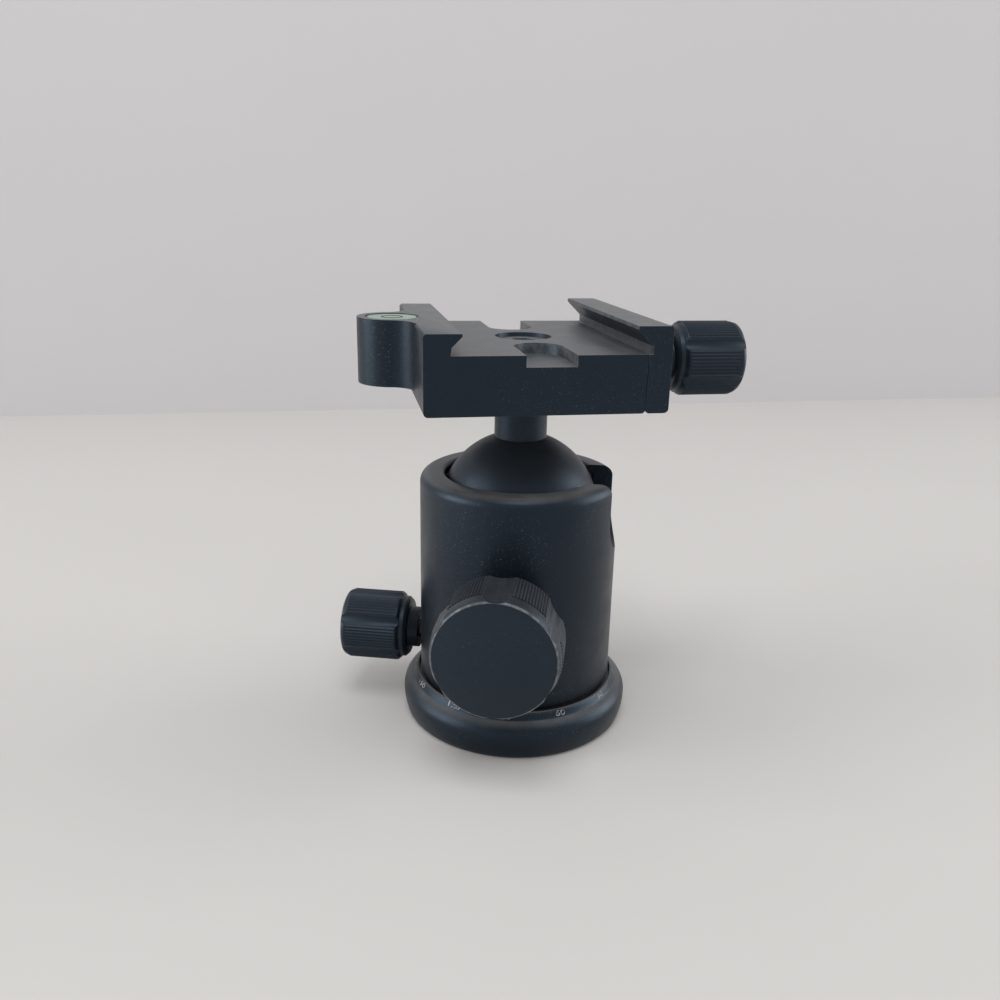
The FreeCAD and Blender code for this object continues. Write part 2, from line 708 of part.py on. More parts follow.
def make_main_knob():
    """The big knob: six finger scallops round a grip with a flat front."""
    shoulder = "(main_knob_front - main_front_chamfer)"
    drop = ("sqrt(main_knob_shoulder^2"
            " - (main_knob_shoulder - main_crown_drop)^2)")
    body = turn_across("main_knob", [
        ("knob_root", "main_screw_radius + seat_gap"),
        ("main_screw_end", "main_screw_radius + seat_gap"),
        ("main_screw_end", "0"),
        ("main_knob_front", "0"),
        ("main_knob_front", "main_front_radius - main_front_chamfer"),
        (shoulder, "main_front_radius",
         f"{shoulder} - {drop}", "main_knob_radius - main_knob_shoulder", 1),
        (f"{shoulder} - {drop}", "main_knob_radius"),
        ("main_knob_back", "main_knob_radius"),
        ("main_neck_end", "main_neck_radius"),
        ("knob_root", "main_neck_radius"),
    ])
    scallop = new_sketch(body, "YZ_Plane")
    draw_circle(scallop, "0", "main_knob_radius - main_scallop_depth + main_scallop_radius",
                "main_scallop_radius")
    cut = pocket(body, scallop, "main_knob_front + free_gap", forward=True)
    repeat_round(body, cut, "X_Axis", "knob_lands")
    drill(body, "XY_Plane", "(knob_root + main_neck_end) / 2", "0",
          "set_screw_radius + seat_gap", "main_neck_radius + free_gap", forward=True)
    return place(body, "main_axis_height", "main_turn")


def make_main_screw():
    """The screw that the main knob turns."""
    body = turn_across("main_screw", [
        ("wedge_outer + running_gap", "0"),
        ("main_screw_end - seat_gap", "0"),
        ("main_screw_end - seat_gap", "main_screw_radius"),
        ("wedge_outer + running_gap + screw_chamfer", "main_screw_radius"),
        ("wedge_outer + running_gap", "main_screw_radius - screw_chamfer"),
    ])
    return place(body, "main_axis_height", "main_turn")


def make_knob_set_screw():
    """The set screw that ties the main knob to its screw."""
    body = tube_upright("knob_set_screw", "main_screw_radius", "main_neck_radius - free_gap",
                        "0", "set_screw_radius")
    middle = "(knob_root + main_neck_end) / 2"
    return place(body, "main_axis_height", "main_turn", f"({middle}) * cos(main_turn)",
                 f"({middle}) * sin(main_turn)")


# The pan lock and the two small knobs

def make_brake_shoe():
    """The shoe that the pan screw presses on the hub."""
    body = new_body("brake_shoe")
    outline = new_sketch(body, "XY_Plane")
    face = "(hub_radius + running_gap)"
    corner = f"sqrt({face}^2 - shoe_half_width^2)"
    draw_outline(outline, [
        (corner, "shoe_half_width", "0", "0", -1),
        (corner, "-shoe_half_width"),
        ("shoe_outer", "-shoe_half_width"),
        ("shoe_outer", "shoe_half_width"),
    ])
    pad(body, outline, "2 * shoe_half_height", both_ways=True)
    return place(body, "pan_axis_height", "pan_turn")


def make_pan_screw():
    """The screw that the pan knob turns."""
    body = tube_across("pan_screw", "shoe_outer + running_gap",
                       "pan_knob_shoulder + knob_bore_depth - seat_gap", "0", "pan_screw_radius")
    return place(body, "pan_axis_height", "pan_turn")


def make_small_knob(label, root, shoulder, screw_radius):
    """A small knob with a neck, a collar and six grooved lands."""
    front = f"({shoulder} + knob_length)"
    bore_end = f"({shoulder} + knob_bore_depth)"
    lands = f"({shoulder} + knob_collar_length)"
    body = turn_across(label, [
        (root, f"{screw_radius} + seat_gap"),
        (bore_end, f"{screw_radius} + seat_gap"),
        (bore_end, "0"),
        (front, "0"),
        (front, "knob_radius - knob_round",
         f"{front} - knob_round", "knob_radius - knob_round", 1),
        (f"{front} - knob_round", "knob_radius"),
        (f"{lands} + knob_edge", "knob_radius"),
        (lands, "knob_collar_radius"),
        (f"{shoulder} + knob_edge", "knob_collar_radius"),
        (shoulder, "knob_collar_radius - knob_edge"),
        (shoulder, "knob_neck_radius"),
        (root, "knob_neck_radius"),
    ])
    groove = new_sketch(body, "YZ_Plane")
    draw_circle(groove, "0", "knob_radius - knob_groove_depth + knob_groove_radius",
                "knob_groove_radius")
    cut = pocket(body, groove, f"{front} + free_gap", forward=True)
    repeat_round(body, cut, "X_Axis", "knob_lands")
    return body


# The ball and its stem

def make_ball():
    """The ball, which fills its socket."""
    ball = DOC.addObject("Part::Sphere", "ball")
    ball.Label = "ball"
    bind(ball, "Radius", "ball_radius")
    return place(ball, "ball_height")


def make_stem():
    """The stem, hollow underneath where it rides on the ball."""
    body = turn_upright("stem", [
        ("0", f"ball_height + {on_sphere('0')}", "0", "ball_height", -1),
        ("stem_radius", f"ball_height + {on_sphere('stem_radius')}"),
        ("stem_radius", "clamp_bottom - running_gap"),
        ("clamp_screw_radius + running_gap", "clamp_bottom - running_gap"),
        ("clamp_screw_radius + running_gap", "clamp_screw_bottom - running_gap"),
        ("0", "clamp_screw_bottom - running_gap"),
    ])
    return place(body)


# The clamp

def make_clamp_base():
    """The clamp: fixed jaw, channel floor, stop pockets and level boss."""
    body = new_body("clamp_base")
    front = new_sketch(body, "XZ_Plane")
    flank = "(fixed_jaw_height - tip_flat - undercut_height)"
    draw_outline(front, [
        ("-clamp_side + clamp_edge", "-clamp_depth"),
        ("parting_side - top_edge", "-clamp_depth"),
        ("parting_side", "-clamp_depth + top_edge"),
        ("parting_side", "0"),
        ("-channel_half_width", "0"),
        (f"-fixed_jaw_tip - {flank}", "undercut_height"),
        ("-fixed_jaw_tip", "fixed_jaw_height - tip_flat"),
        ("-fixed_jaw_tip", "fixed_jaw_height"),
        ("-clamp_side + top_edge", "fixed_jaw_height"),
        ("-clamp_side", "fixed_jaw_height - top_edge"),
        ("-clamp_side", "-clamp_depth + clamp_edge",
         "-clamp_side + clamp_edge", "-clamp_depth + clamp_edge", 1),
    ])
    pad(body, front, "clamp_length", both_ways=True)

    boss = new_sketch(body, "XY_Plane")
    blend_along = "sqrt((boss_radius + boss_blend)^2 - (level_across + clamp_side + boss_blend)^2)"
    share = "boss_radius / (boss_radius + boss_blend)"
    blend_across = "(-clamp_side - boss_blend)"
    touch_across = f"level_across + ({blend_across} - level_across) * {share}"
    draw_outline(boss, [
        ("-clamp_side + clamp_edge", f"level_along + {blend_along}"),
        ("-clamp_side", f"level_along + {blend_along}",
         blend_across, f"level_along + {blend_along}", -1),
        (touch_across, f"level_along + {blend_along} * {share}",
         "level_across", "level_along", 1),
        (touch_across, f"level_along - {blend_along} * {share}",
         blend_across, f"level_along - {blend_along}", -1),
        ("-clamp_side", f"level_along - {blend_along}"),
        ("-clamp_side + clamp_edge", f"level_along - {blend_along}"),
    ])
    bind(boss, "AttachmentOffset.Base.z", "-clamp_depth + boss_round")
    pad(body, boss, "clamp_depth + fixed_jaw_height - boss_round")

    pockets = new_sketch(body, "XY_Plane")
    inner = "(clamp_length / 2 - pocket_length + pocket_half_width)"
    draw_outline(pockets, [
        ("-pocket_half_width", "-clamp_length / 2 - free_gap"),
        ("pocket_half_width", "-clamp_length / 2 - free_gap"),
        ("pocket_half_width", f"-{inner}", "0", f"-{inner}", 1),
        ("-pocket_half_width", f"-{inner}"),
    ])
    stop = pocket(body, pockets, "pocket_depth")
    mirror_feature(body, [stop], "XZ_Plane")

    drill(body, "XY_Plane", "0", "0", "counterbore_radius", "counterbore_depth")
    drill(body, "XY_Plane", "0", "0", "clamp_screw_radius + running_gap", "clamp_depth + free_gap")
    drill(body, "XY_Plane", "level_across", "level_along", "level_pocket_radius",
          "level_pocket_depth", offset="fixed_jaw_height")
    drill(body, "YZ_Plane", "0", "-jaw_axis_depth", "jaw_screw_radius + running_gap",
          "parting_side - jaw_screw_start + free_gap", offset="parting_side")
    pin_hole = drill(body, "YZ_Plane", "pin_along", "-pin_depth", "pin_radius + running_gap",
                     "parting_side - pin_start + free_gap", offset="parting_side")
    spring_hole = drill(body, "YZ_Plane", "pin_along", "-pin_depth",
                        "jaw_spring_radius + jaw_spring_wire + free_gap",
                        "parting_side - jaw_spring_start", offset="parting_side")
    mirror_feature(body, [pin_hole, spring_hole], "XZ_Plane")
    return place(body, "floor_height")


def make_clamp_screw():
    """The cap screw that holds the clamp on the stem."""
    bottom = "(floor_height - counterbore_depth + seat_gap)"
    top = f"({bottom} + clamp_head_height)"
    body = turn_upright("clamp_screw", [
        ("0", "clamp_screw_bottom"),
        ("clamp_screw_radius", "clamp_screw_bottom"),
        ("clamp_screw_radius", bottom),
        ("clamp_head_radius", bottom),
        ("clamp_head_radius", f"{top} - head_chamfer"),
        ("clamp_head_radius - head_chamfer", top),
        ("0", top),
    ])
    socket = new_sketch(body, "XY_Plane")
    draw_hexagon(socket, "clamp_socket_radius")
    bind(socket, "AttachmentOffset.Base.z", top)
    pocket(body, socket, "clamp_head_height / 2")
    return place(body)


def place_level(piece, height="0"):
    """Stand a piece of the level in the boss."""
    return place(piece, height, "0", "level_across", "level_along")


def make_level():
    """The round level: cup, green liquid, bubble, lens and printed ring."""
    place_level(turn_upright("level_cup", [
        ("0", "level_bottom"),
        ("level_pocket_radius - seat_gap", "level_bottom"),
        ("level_pocket_radius - seat_gap", "level_top"),
        ("level_radius", "level_top"),
        ("level_radius", "fluid_bottom"),
        ("0", "fluid_bottom"),
    ]))
    flat = "(bubble_radius / 2)"
    reach = f"sqrt(bubble_radius^2 - {flat}^2)"
    centre = f"(fluid_top + {flat})"
    place_level(turn_upright("level_fluid", [
        ("0", "fluid_bottom"),
        ("level_radius - seat_gap", "fluid_bottom"),
        ("level_radius - seat_gap", "fluid_top"),
        (reach, "fluid_top", "0", centre, -1),
        ("0", f"{centre} - bubble_radius"),
    ]))
    small = "(bubble_radius - seat_gap)"
    small_reach = f"sqrt({small}^2 - {flat}^2)"
    place_level(turn_upright("level_bubble", [
        ("0", f"{centre} - {small}", "0", centre, 1),
        (small_reach, "fluid_top"),
        ("0", "fluid_top"),
    ]))
    place_level(tube_upright("level_lens", "fluid_top + seat_gap", "level_top", "0",
                             "level_radius - seat_gap"))
    place_level(tube_upright("level_ring", "level_top", "level_top + ring_height",
                             "ring_radius - ring_width / 2", "ring_radius + ring_width / 2"))


# The moving jaw and its screw

def make_moving_jaw():
    """The plate that closes on the camera plate's dovetail."""
    body = new_body("moving_jaw")
    front = new_sketch(body, "XZ_Plane")
    draw_outline(front, [
        ("jaw_face + top_edge", "-clamp_depth"),
        ("jaw_side - clamp_edge", "-clamp_depth",
         "jaw_side - clamp_edge", "-clamp_depth + clamp_edge", 1),
        ("jaw_side", "-clamp_depth + clamp_edge"),
        ("jaw_side", "jaw_height - top_edge"),
        ("jaw_side - top_edge", "jaw_height"),
        ("jaw_tip", "jaw_height"),
        ("jaw_tip", "undercut_height + jaw_root - jaw_tip"),
        ("jaw_root", "undercut_height"),
        ("jaw_root", "0"),
        ("jaw_face", "0"),
        ("jaw_face", "-clamp_depth + top_edge"),
    ])
    pad(body, front, "clamp_length", both_ways=True)
    drill(body, "YZ_Plane", "0", "-jaw_axis_depth", "jaw_screw_radius + running_gap",
          "2 * jaw_side", forward=True)
    drill(body, "YZ_Plane", "0", "-jaw_axis_depth", "clip_radius + free_gap",
          "clip_start + clip_height + running_gap", forward=True)
    pin_hole = drill(body, "YZ_Plane", "pin_along", "-pin_depth", "pin_radius + seat_gap",
                     "jaw_side - pin_cover + seat_gap", forward=True)
    mirror_feature(body, [pin_hole], "XZ_Plane")
    return place(body, "floor_height")


def make_pair(label, start, length, radius, bore=None):
    """Two equal round pieces along X, one on each guide pin axis."""
    pair = []
    for side in (-1, 1):
        cylinders = []
        for size in filter(None, (radius, bore)):
            cylinder = DOC.addObject("Part::Cylinder", "Round_" + label)
            bind(cylinder, "Radius", size)
            bind(cylinder, "Height", length)
            cylinder.Placement = FreeCAD.Placement(
                FreeCAD.Vector(), FreeCAD.Rotation(FreeCAD.Vector(0, 1, 0), 90))
            bind(cylinder, "Placement.Base.x", start)
            bind(cylinder, "Placement.Base.y", f"{side} * pin_along")
            cylinders.append(cylinder)
        if bore:
            cut = DOC.addObject("Part::Cut", "Cut_" + label)
            cut.Base, cut.Tool = cylinders
            cylinders = [cut]
        pair += cylinders
    return place(gather(label, pair), "floor_height - pin_depth")


def make_guide_pins():
    """The two pins that keep the jaw square."""
    return make_pair("guide_pins", "pin_start", "jaw_side - pin_cover - pin_start", "pin_radius")


def make_jaw_springs():
    """The two springs round the pins that push the jaw open, as plain sleeves."""
    return make_pair("jaw_springs", "jaw_spring_start + running_gap",
                     "jaw_face - jaw_spring_start - 2 * running_gap",
                     "jaw_spring_radius + jaw_spring_wire",
                     "jaw_spring_radius - jaw_spring_wire")


def make_jaw_screw():
    """The clamp screw that the clamp knob turns, with its clip and washer."""
    end = "jaw_knob_shoulder + knob_bore_depth - seat_gap"
    place(tube_across("jaw_screw", "jaw_screw_start", end, "0", "jaw_screw_radius"), "jaw_axis_height")
    place(tube_across("jaw_clip", "clip_start", "clip_start + clip_height",
                      "jaw_screw_radius + seat_gap", "clip_radius"), "jaw_axis_height")
    place(tube_across("jaw_washer", "jaw_side + running_gap",
                      "jaw_side + running_gap + washer_height",
                      "jaw_screw_radius + seat_gap", "washer_radius"), "jaw_axis_height")


def make_model():
    """Build every piece, from the base up."""
    make_pan_base()
    make_tripod_bush()
    make_slide_ring()
    make_thrust_washer()
    make_pan_bolt()
    make_bolt_washer()
    make_housing()
    make_floor_plate()
    make_seat_ring()
    make_lock_bush("main_bush", "main_screw_radius", "main_bush_radius", "chamber_radius",
                   "main_axis_height", "main_turn")
    make_lock_bush("pan_bush", "pan_screw_radius", "pan_bush_radius", "pan_chamber_radius",
                   "pan_axis_height", "pan_turn")
    make_lower_cup()
    make_pressure_wedge()
    make_disc_springs()
    make_main_knob()
    make_main_screw()
    make_knob_set_screw()
    make_brake_shoe()
    make_pan_screw()
    place(make_small_knob("pan_knob", "knob_root", "pan_knob_shoulder",
                          "pan_screw_radius"), "pan_axis_height", "pan_turn")
    make_ball()
    make_stem()
    make_clamp_base()
    make_clamp_screw()
    make_level()
    make_moving_jaw()
    make_guide_pins()
    make_jaw_springs()
    make_jaw_screw()
    place(make_small_knob("jaw_knob", "jaw_knob_root",
                          "jaw_knob_shoulder", "jaw_screw_radius"), "jaw_axis_height")


def check_model():
    """Stop if anything failed to build or a piece has no sound shape."""
    DOC.recompute()
    failed = [item.Name for item in DOC.Objects
              if "Invalid" in item.State or "Error" in item.State]
    if failed:
        raise RuntimeError("failed: " + ", ".join(failed))
    for piece in PIECES:
        shape = piece.Shape
        if shape.isNull() or not shape.isValid() or shape.Volume <= 0:
            raise RuntimeError(f"{piece.Label} has no sound shape")
        print(f"{piece.Label}: {len(shape.Solids)} solid, {shape.Volume:.1f} mm3")


def export_model():
    """Write each piece to its own file."""
    os.makedirs("parts", exist_ok=True)
    for piece in PIECES:
        piece.Shape.exportStep(f"parts/{piece.Label}.step")


fill_sheet()
make_model()
check_model()
export_model()
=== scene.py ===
"""Looks of a tripod ball head with a pan base, a drop notch and a dovetail plate clamp.

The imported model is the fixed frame: metres, +Z up, origin at the centre of the base
face, the plate channel along Y and the clamp knob to +X. Sizes are written in
millimetres times MM. Knurls, threads and coils are drawn along their own axis and
swung onto the axis of the joint that turns them, which the record gives.
"""

import json
import logging
import math
from dataclasses import dataclass
from enum import Enum
from typing import Callable, Optional, Union

import bmesh
import bpy
from mathutils import Matrix, Vector

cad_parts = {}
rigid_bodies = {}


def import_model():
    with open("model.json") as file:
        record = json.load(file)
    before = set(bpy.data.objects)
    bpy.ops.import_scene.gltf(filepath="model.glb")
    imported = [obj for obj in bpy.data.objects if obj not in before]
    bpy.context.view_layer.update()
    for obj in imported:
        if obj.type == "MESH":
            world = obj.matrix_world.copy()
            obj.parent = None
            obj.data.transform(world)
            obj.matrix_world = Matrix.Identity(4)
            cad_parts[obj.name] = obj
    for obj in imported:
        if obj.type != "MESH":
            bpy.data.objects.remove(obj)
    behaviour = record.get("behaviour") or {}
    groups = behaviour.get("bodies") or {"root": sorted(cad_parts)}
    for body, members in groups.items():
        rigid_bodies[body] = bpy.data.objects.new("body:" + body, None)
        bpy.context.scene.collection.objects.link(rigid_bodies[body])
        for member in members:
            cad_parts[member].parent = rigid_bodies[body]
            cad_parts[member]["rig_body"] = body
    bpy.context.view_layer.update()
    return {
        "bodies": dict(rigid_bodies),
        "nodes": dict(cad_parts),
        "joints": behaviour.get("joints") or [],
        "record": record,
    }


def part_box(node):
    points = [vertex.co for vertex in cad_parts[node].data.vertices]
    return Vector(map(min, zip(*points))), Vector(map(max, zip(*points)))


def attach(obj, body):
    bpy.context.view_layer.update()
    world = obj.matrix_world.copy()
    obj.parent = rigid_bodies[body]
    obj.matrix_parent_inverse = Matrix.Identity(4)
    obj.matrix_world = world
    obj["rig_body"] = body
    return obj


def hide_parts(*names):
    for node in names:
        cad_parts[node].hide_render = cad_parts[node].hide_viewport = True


MM = 0.001
PHOTO_PIXELS = 1000
SENSOR_WIDTH = 36.0
WELD_DISTANCE = 0.001 * MM
FLAT_TURN = math.radians(0.3)
SMOOTH_TURN = math.radians(28)
SHARP_TURN = math.radians(30)
UP = Vector((0, 0, 1))
LOG = logging.getLogger("ball_head")

Colour = tuple[float, float, float]
Where = Callable[[bmesh.types.BMFace], float]


class Slot(Enum):
    """The record's material slots."""

    BLACK_ANODISED = "black_anodised"
    BALL_ANODISED = "ball_anodised"
    KNOB_BLACK = "knob_black"
    BLACKENED_STEEL = "blackened_steel"
    STEEL = "steel"
    BRASS = "brass"
    ACETAL = "acetal"
    ACETAL_BLACK = "acetal_black"
    SPRING_STEEL = "spring_steel"
    LEVEL_GREEN = "level_green"
    LEVEL_CLEAR = "level_clear"
    LEVEL_AIR = "level_air"
    LEVEL_PRINT = "level_print"


class Mark(Enum):
    """Face attributes that the finishes read."""

    EDGE = "edge"


# Node trees written as expressions


class Link:
    """An output socket that takes part in Python expressions."""

    def __init__(self, graph: "Graph", socket: bpy.types.NodeSocket) -> None:
        """Remember the socket and the tree it belongs to."""
        self.graph = graph
        self.socket = socket

    def _math(self, operation: str, first: "Value", second: "Value") -> "Link":
        """One Math node on two values."""
        return self.graph.node("ShaderNodeMath", {"operation": operation},
                               {0: first, 1: second})

    def __add__(self, other: "Value") -> "Link":
        """This value plus another."""
        return self._math("ADD", self, other)

    def __radd__(self, other: "Value") -> "Link":
        """Another value plus this one."""
        return self._math("ADD", other, self)

    def __sub__(self, other: "Value") -> "Link":
        """This value less another."""
        return self._math("SUBTRACT", self, other)

    def __rsub__(self, other: "Value") -> "Link":
        """Another value less this one."""
        return self._math("SUBTRACT", other, self)

    def __mul__(self, other: "Value") -> "Link":
        """This value times another."""
        return self._math("MULTIPLY", self, other)

    def __rmul__(self, other: "Value") -> "Link":
        """Another value times this one."""
        return self._math("MULTIPLY", other, self)

    def __truediv__(self, other: "Value") -> "Link":
        """This value over another."""
        return self._math("DIVIDE", self, other)

    def __rtruediv__(self, other: "Value") -> "Link":
        """Another value over this one."""
        return self._math("DIVIDE", other, self)

    def floor(self) -> "Link":
        """The whole number below this value."""
        return self._math("FLOOR", self, 0.0)

    def cosine(self) -> "Link":
        """The cosine of this value."""
        return self._math("COSINE", self, 0.0)

    def sine(self) -> "Link":
        """The sine of this value."""
        return self._math("SINE", self, 0.0)


Value = Union[Link, float, tuple[float, ...]]


class Graph:
    """A node tree, of a material or of geometry."""

    def __init__(self, tree: bpy.types.NodeTree) -> None:
        """Start from an empty tree."""
        self.tree = tree
        self.tree.nodes.clear()

    def node(self, kind: str, settings: dict[str, object],
             inputs: dict[Union[str, int], Value], output: Union[str, int] = 0) -> Optional[Link]:
        """Make one node.

        Args:
            kind: The node's type.
            settings: Its own settings, which are set first.
            inputs: Values or links of its sockets, by name or number.
            output: The output to go on with.

        Returns:
            That output, or None where the node has none.
        """
        made = self.tree.nodes.new(kind)
        for name, value in settings.items():
            setattr(made, name, value)
        for key, value in inputs.items():
            if isinstance(value, Link):
                self.tree.links.new(value.socket, made.inputs[key])
            else:
                made.inputs[key].default_value = value
        return Link(self, made.outputs[output]) if len(made.outputs) else None


class Shader(Graph):
    """The node tree of one material, with the patterns that the finishes share."""

    def __init__(self, name: str) -> None:
        """Make the material and empty its tree.

        Args:
            name: The material's name.
        """
        self.material = bpy.data.materials.new(name)
        self.material.use_nodes = True
        super().__init__(self.material.node_tree)
        self.place = self.node("ShaderNodeTexCoord", {}, {}, "Object")

    def stretched(self, scale: tuple[float, float, float]) -> Link:
        """The place on the piece, drawn out along the axes."""
        return self.node("ShaderNodeMapping", {}, {"Vector": self.place, "Scale": scale})

    def noise(self, size: float, detail: float = 2.0, place: Optional[Link] = None) -> Link:
        """Cloudy noise.

        Args:
            size: How large its clouds are, in metres.
            detail: How many finer layers it has.
            place: Where it is read, the place on the piece unless given.

        Returns:
            A value that is mostly 0.3 to 0.7.
        """
        return self.node("ShaderNodeTexNoise", {}, {
            "Vector": place or self.place, "Scale": 1.0 / size, "Detail": detail}, "Fac")

    def between(self, value: Link, low: float, high: float) -> Link:
        """A smooth step from 0 at low to 1 at high."""
        return self.node("ShaderNodeMapRange", {"interpolation_type": "SMOOTHSTEP"}, {
            "Value": value, "From Min": low, "From Max": high})

    def mark(self, mark: Mark) -> Link:
        """The share of a face attribute."""
        return self.node("ShaderNodeAttribute", {"attribute_name": mark.value}, {}, "Fac")

    def part(self, vector: Link, axis: str) -> Link:
        """One part of a vector."""
        return self.node("ShaderNodeSeparateXYZ", {}, {0: vector}, axis)

    def facing_up(self) -> Link:
        """How far the surface of the piece at rest faces up, 0 to 1."""
        normal = self.node("ShaderNodeTexCoord", {}, {}, "Normal")
        return self.between(self.part(normal, "Z"), 0.5, 1.0)

    def mix(self, share: Value, first: Union[Link, Colour], second: Union[Link, Colour]) -> Link:
        """A mix of two colours."""
        ends = [end if isinstance(end, Link) else (*end, 1.0) for end in (first, second)]
        return self.node("ShaderNodeMix", {"data_type": "RGBA"},
                         {0: share, 6: ends[0], 7: ends[1]}, 2)

    def bump(self, height: Link, depth: float) -> Link:
        """A normal from a height that goes from 0 to 1 over a depth in metres."""
        return self.node("ShaderNodeBump", {}, {"Strength": 1.0, "Distance": depth,
                                                "Height": height})

    def surface(self, **sockets: Value) -> bpy.types.Material:
        """Close the tree with a surface shader.

        Args:
            **sockets: Values or links by socket name, with _ for a space.

        Returns:
            The material.
        """
        named = {name.replace("_", " "): value for name, value in sockets.items()}
        named = {name.replace("Ior", "IOR"): value for name, value in named.items()}
        shader = self.node("ShaderNodeBsdfPrincipled", {}, named)
        self.node("ShaderNodeOutputMaterial", {}, {"Surface": shader})
        return self.material


# Finishes


@dataclass(frozen=True)
class Anodised:
    """Black anodised aluminium: fine matt grain, settled dust, painted sheen on top, worn edges."""

    name: str
    dark: Colour = (0.0024, 0.0040, 0.0068)
    light: Colour = (0.0060, 0.0088, 0.0128)
    roughness: float = 0.36
    # Share of settled dust, with a painted sheen, on faces that face up.
    dust: float = 0.36
    specks: float = 0.24
    wear: float = 0.50
    gloss: float = 0.4
    sheen_tint: Colour = (0.56, 0.76, 1.0)
    # Pale colour of the dust specks, the settled dust and the painted sheen on top faces.
    dust_colour: Colour = (0.25, 0.255, 0.26)
    bare_colour: Colour = (0.34, 0.35, 0.36)
    cloud_size: float = 22 * MM
    grain_size: float = 0.16 * MM
    grain_depth: float = 0.010 * MM
    grain_roughness: float = 0.06
    smudge_size: float = 5 * MM
    smudge_roughness: float = 0.22
    speck_size: float = 0.34 * MM
    speck_start: float = 0.62
    speck_full: float = 0.72
    chafe_size: float = 1.3 * MM
    least_wear: float = 0.4

    def material(self) -> bpy.types.Material:
        """The finish as a material."""
        shader = Shader(self.name)
        cloud = shader.noise(self.cloud_size, 3.0)
        grain = shader.noise(self.grain_size, 1.0)
        smudge = shader.noise(self.smudge_size, 4.0)
        speck = shader.between(shader.noise(self.speck_size, 3.0),
                               self.speck_start, self.speck_full)
        speck = speck * shader.between(cloud, 0.36, 0.60) * self.specks
        # Paler on faces that face up: settled dust, and a painted sheen standing in for the light
        # that grazes top faces.
        dust = shader.facing_up() * (0.7 + shader.between(smudge, 0.3, 0.7) * 0.3) * self.dust
        chafed = shader.between(shader.noise(self.chafe_size, 3.0), 0.38, 0.62)
        bared = self.least_wear + chafed * (1.0 - self.least_wear)
        worn = shader.mark(Mark.EDGE) * bared * self.wear
        base = shader.mix(cloud, self.dark, self.light)
        # Mix in the dust specks, the settled dust and the painted sheen.
        with_dust_and_sheen = shader.mix(dust + speck, base, self.dust_colour)
        colour = shader.mix(worn, with_dust_and_sheen, self.bare_colour)
        roughness = (self.roughness + (smudge - 0.5) * self.smudge_roughness
                     + grain * self.grain_roughness)
        return shader.surface(Base_Color=colour, Roughness=roughness,
                              Specular_Ior_Level=self.gloss,
                              Specular_Tint=(*self.sheen_tint, 1.0),
                              Normal=shader.bump(grain, self.grain_depth))


@dataclass(frozen=True)
class TurnedMetal:
    """Bare or blackened metal with the fine rings that turning leaves."""

    name: str
    colour: Colour
    roughness: float = 0.28
    metallic: float = 1.0
    stretch: tuple[float, float, float] = (1.0, 1.0, 12.0)
    ring_size: float = 1.2 * MM
    ring_depth: float = 0.006 * MM
    ring_roughness: float = 0.18
    stain_size: float = 3 * MM
    stain_shade: float = 0.72
    wear: float = 0.4

    def material(self) -> bpy.types.Material:
        """The finish as a material."""
        shader = Shader(self.name)
        rings = shader.noise(self.ring_size, 3.0, shader.stretched(self.stretch))
        stain = shader.noise(self.stain_size, 3.0)
        worn = shader.mark(Mark.EDGE) * shader.between(stain, 0.35, 0.65) * self.wear
        shade = tuple(self.stain_shade * part for part in self.colour)
        bright = tuple(min(1.0, 1.25 * part + 0.05) for part in self.colour)
        colour = shader.mix(worn, shader.mix(stain, shade, self.colour), bright)
        return shader.surface(Base_Color=colour, Metallic=self.metallic,
                              Roughness=self.roughness + rings * self.ring_roughness,
                              Normal=shader.bump(rings, self.ring_depth))


@dataclass(frozen=True)
class Plastic:
    """Turned or moulded plastic with a faint mottle."""

    name: str
    dark: Colour
    light: Colour
    roughness: float = 0.45
    mottle_size: float = 1.6 * MM
    mottle_depth: float = 0.01 * MM
    mottle_roughness: float = 0.12

    def material(self) -> bpy.types.Material:
        """The finish as a material."""
        shader = Shader(self.name)
        mottle = shader.noise(self.mottle_size, 4.0)
        colour = shader.mix(mottle, self.dark, self.light)
        return shader.surface(Base_Color=colour,
                              Roughness=self.roughness + mottle * self.mottle_roughness,
                              Normal=shader.bump(mottle, self.mottle_depth))


@dataclass(frozen=True)
class Clear:
    """A clear cover, seen mostly by its gloss."""

    name: str
    tint: Colour
    cover: float
    roughness: float = 0.06
    haze_size: float = 1.5 * MM
    haze_roughness: float = 0.08
    haze_cover: float = 0.05

    def material(self) -> bpy.types.Material:
        """The finish as a material."""
        shader = Shader(self.name)
        haze = shader.noise(self.haze_size, 3.0)
        pale = tuple(min(1.0, 1.2 * part) for part in self.tint)
        return shader.surface(Base_Color=shader.mix(haze, self.tint, pale),
                              Roughness=self.roughness + haze * self.haze_roughness,
                              Alpha=self.cover + haze * self.haze_cover)


@dataclass(frozen=True)
class Paint:
    """Paint in an engraved mark, patchy where it has rubbed away."""

    name: str
    full: Colour
    faded: Colour
    patch_size: float = 0.5 * MM
    roughness: float = 0.5
    patch_roughness: float = 0.2

    def material(self) -> bpy.types.Material:
        """The finish as a material."""
        shader = Shader(self.name)
        loss = shader.between(shader.noise(self.patch_size, 2.0), 0.40, 0.62)
        return shader.surface(Base_Color=shader.mix(loss, self.full, self.faded),
                              Roughness=self.roughness + loss * self.patch_roughness)


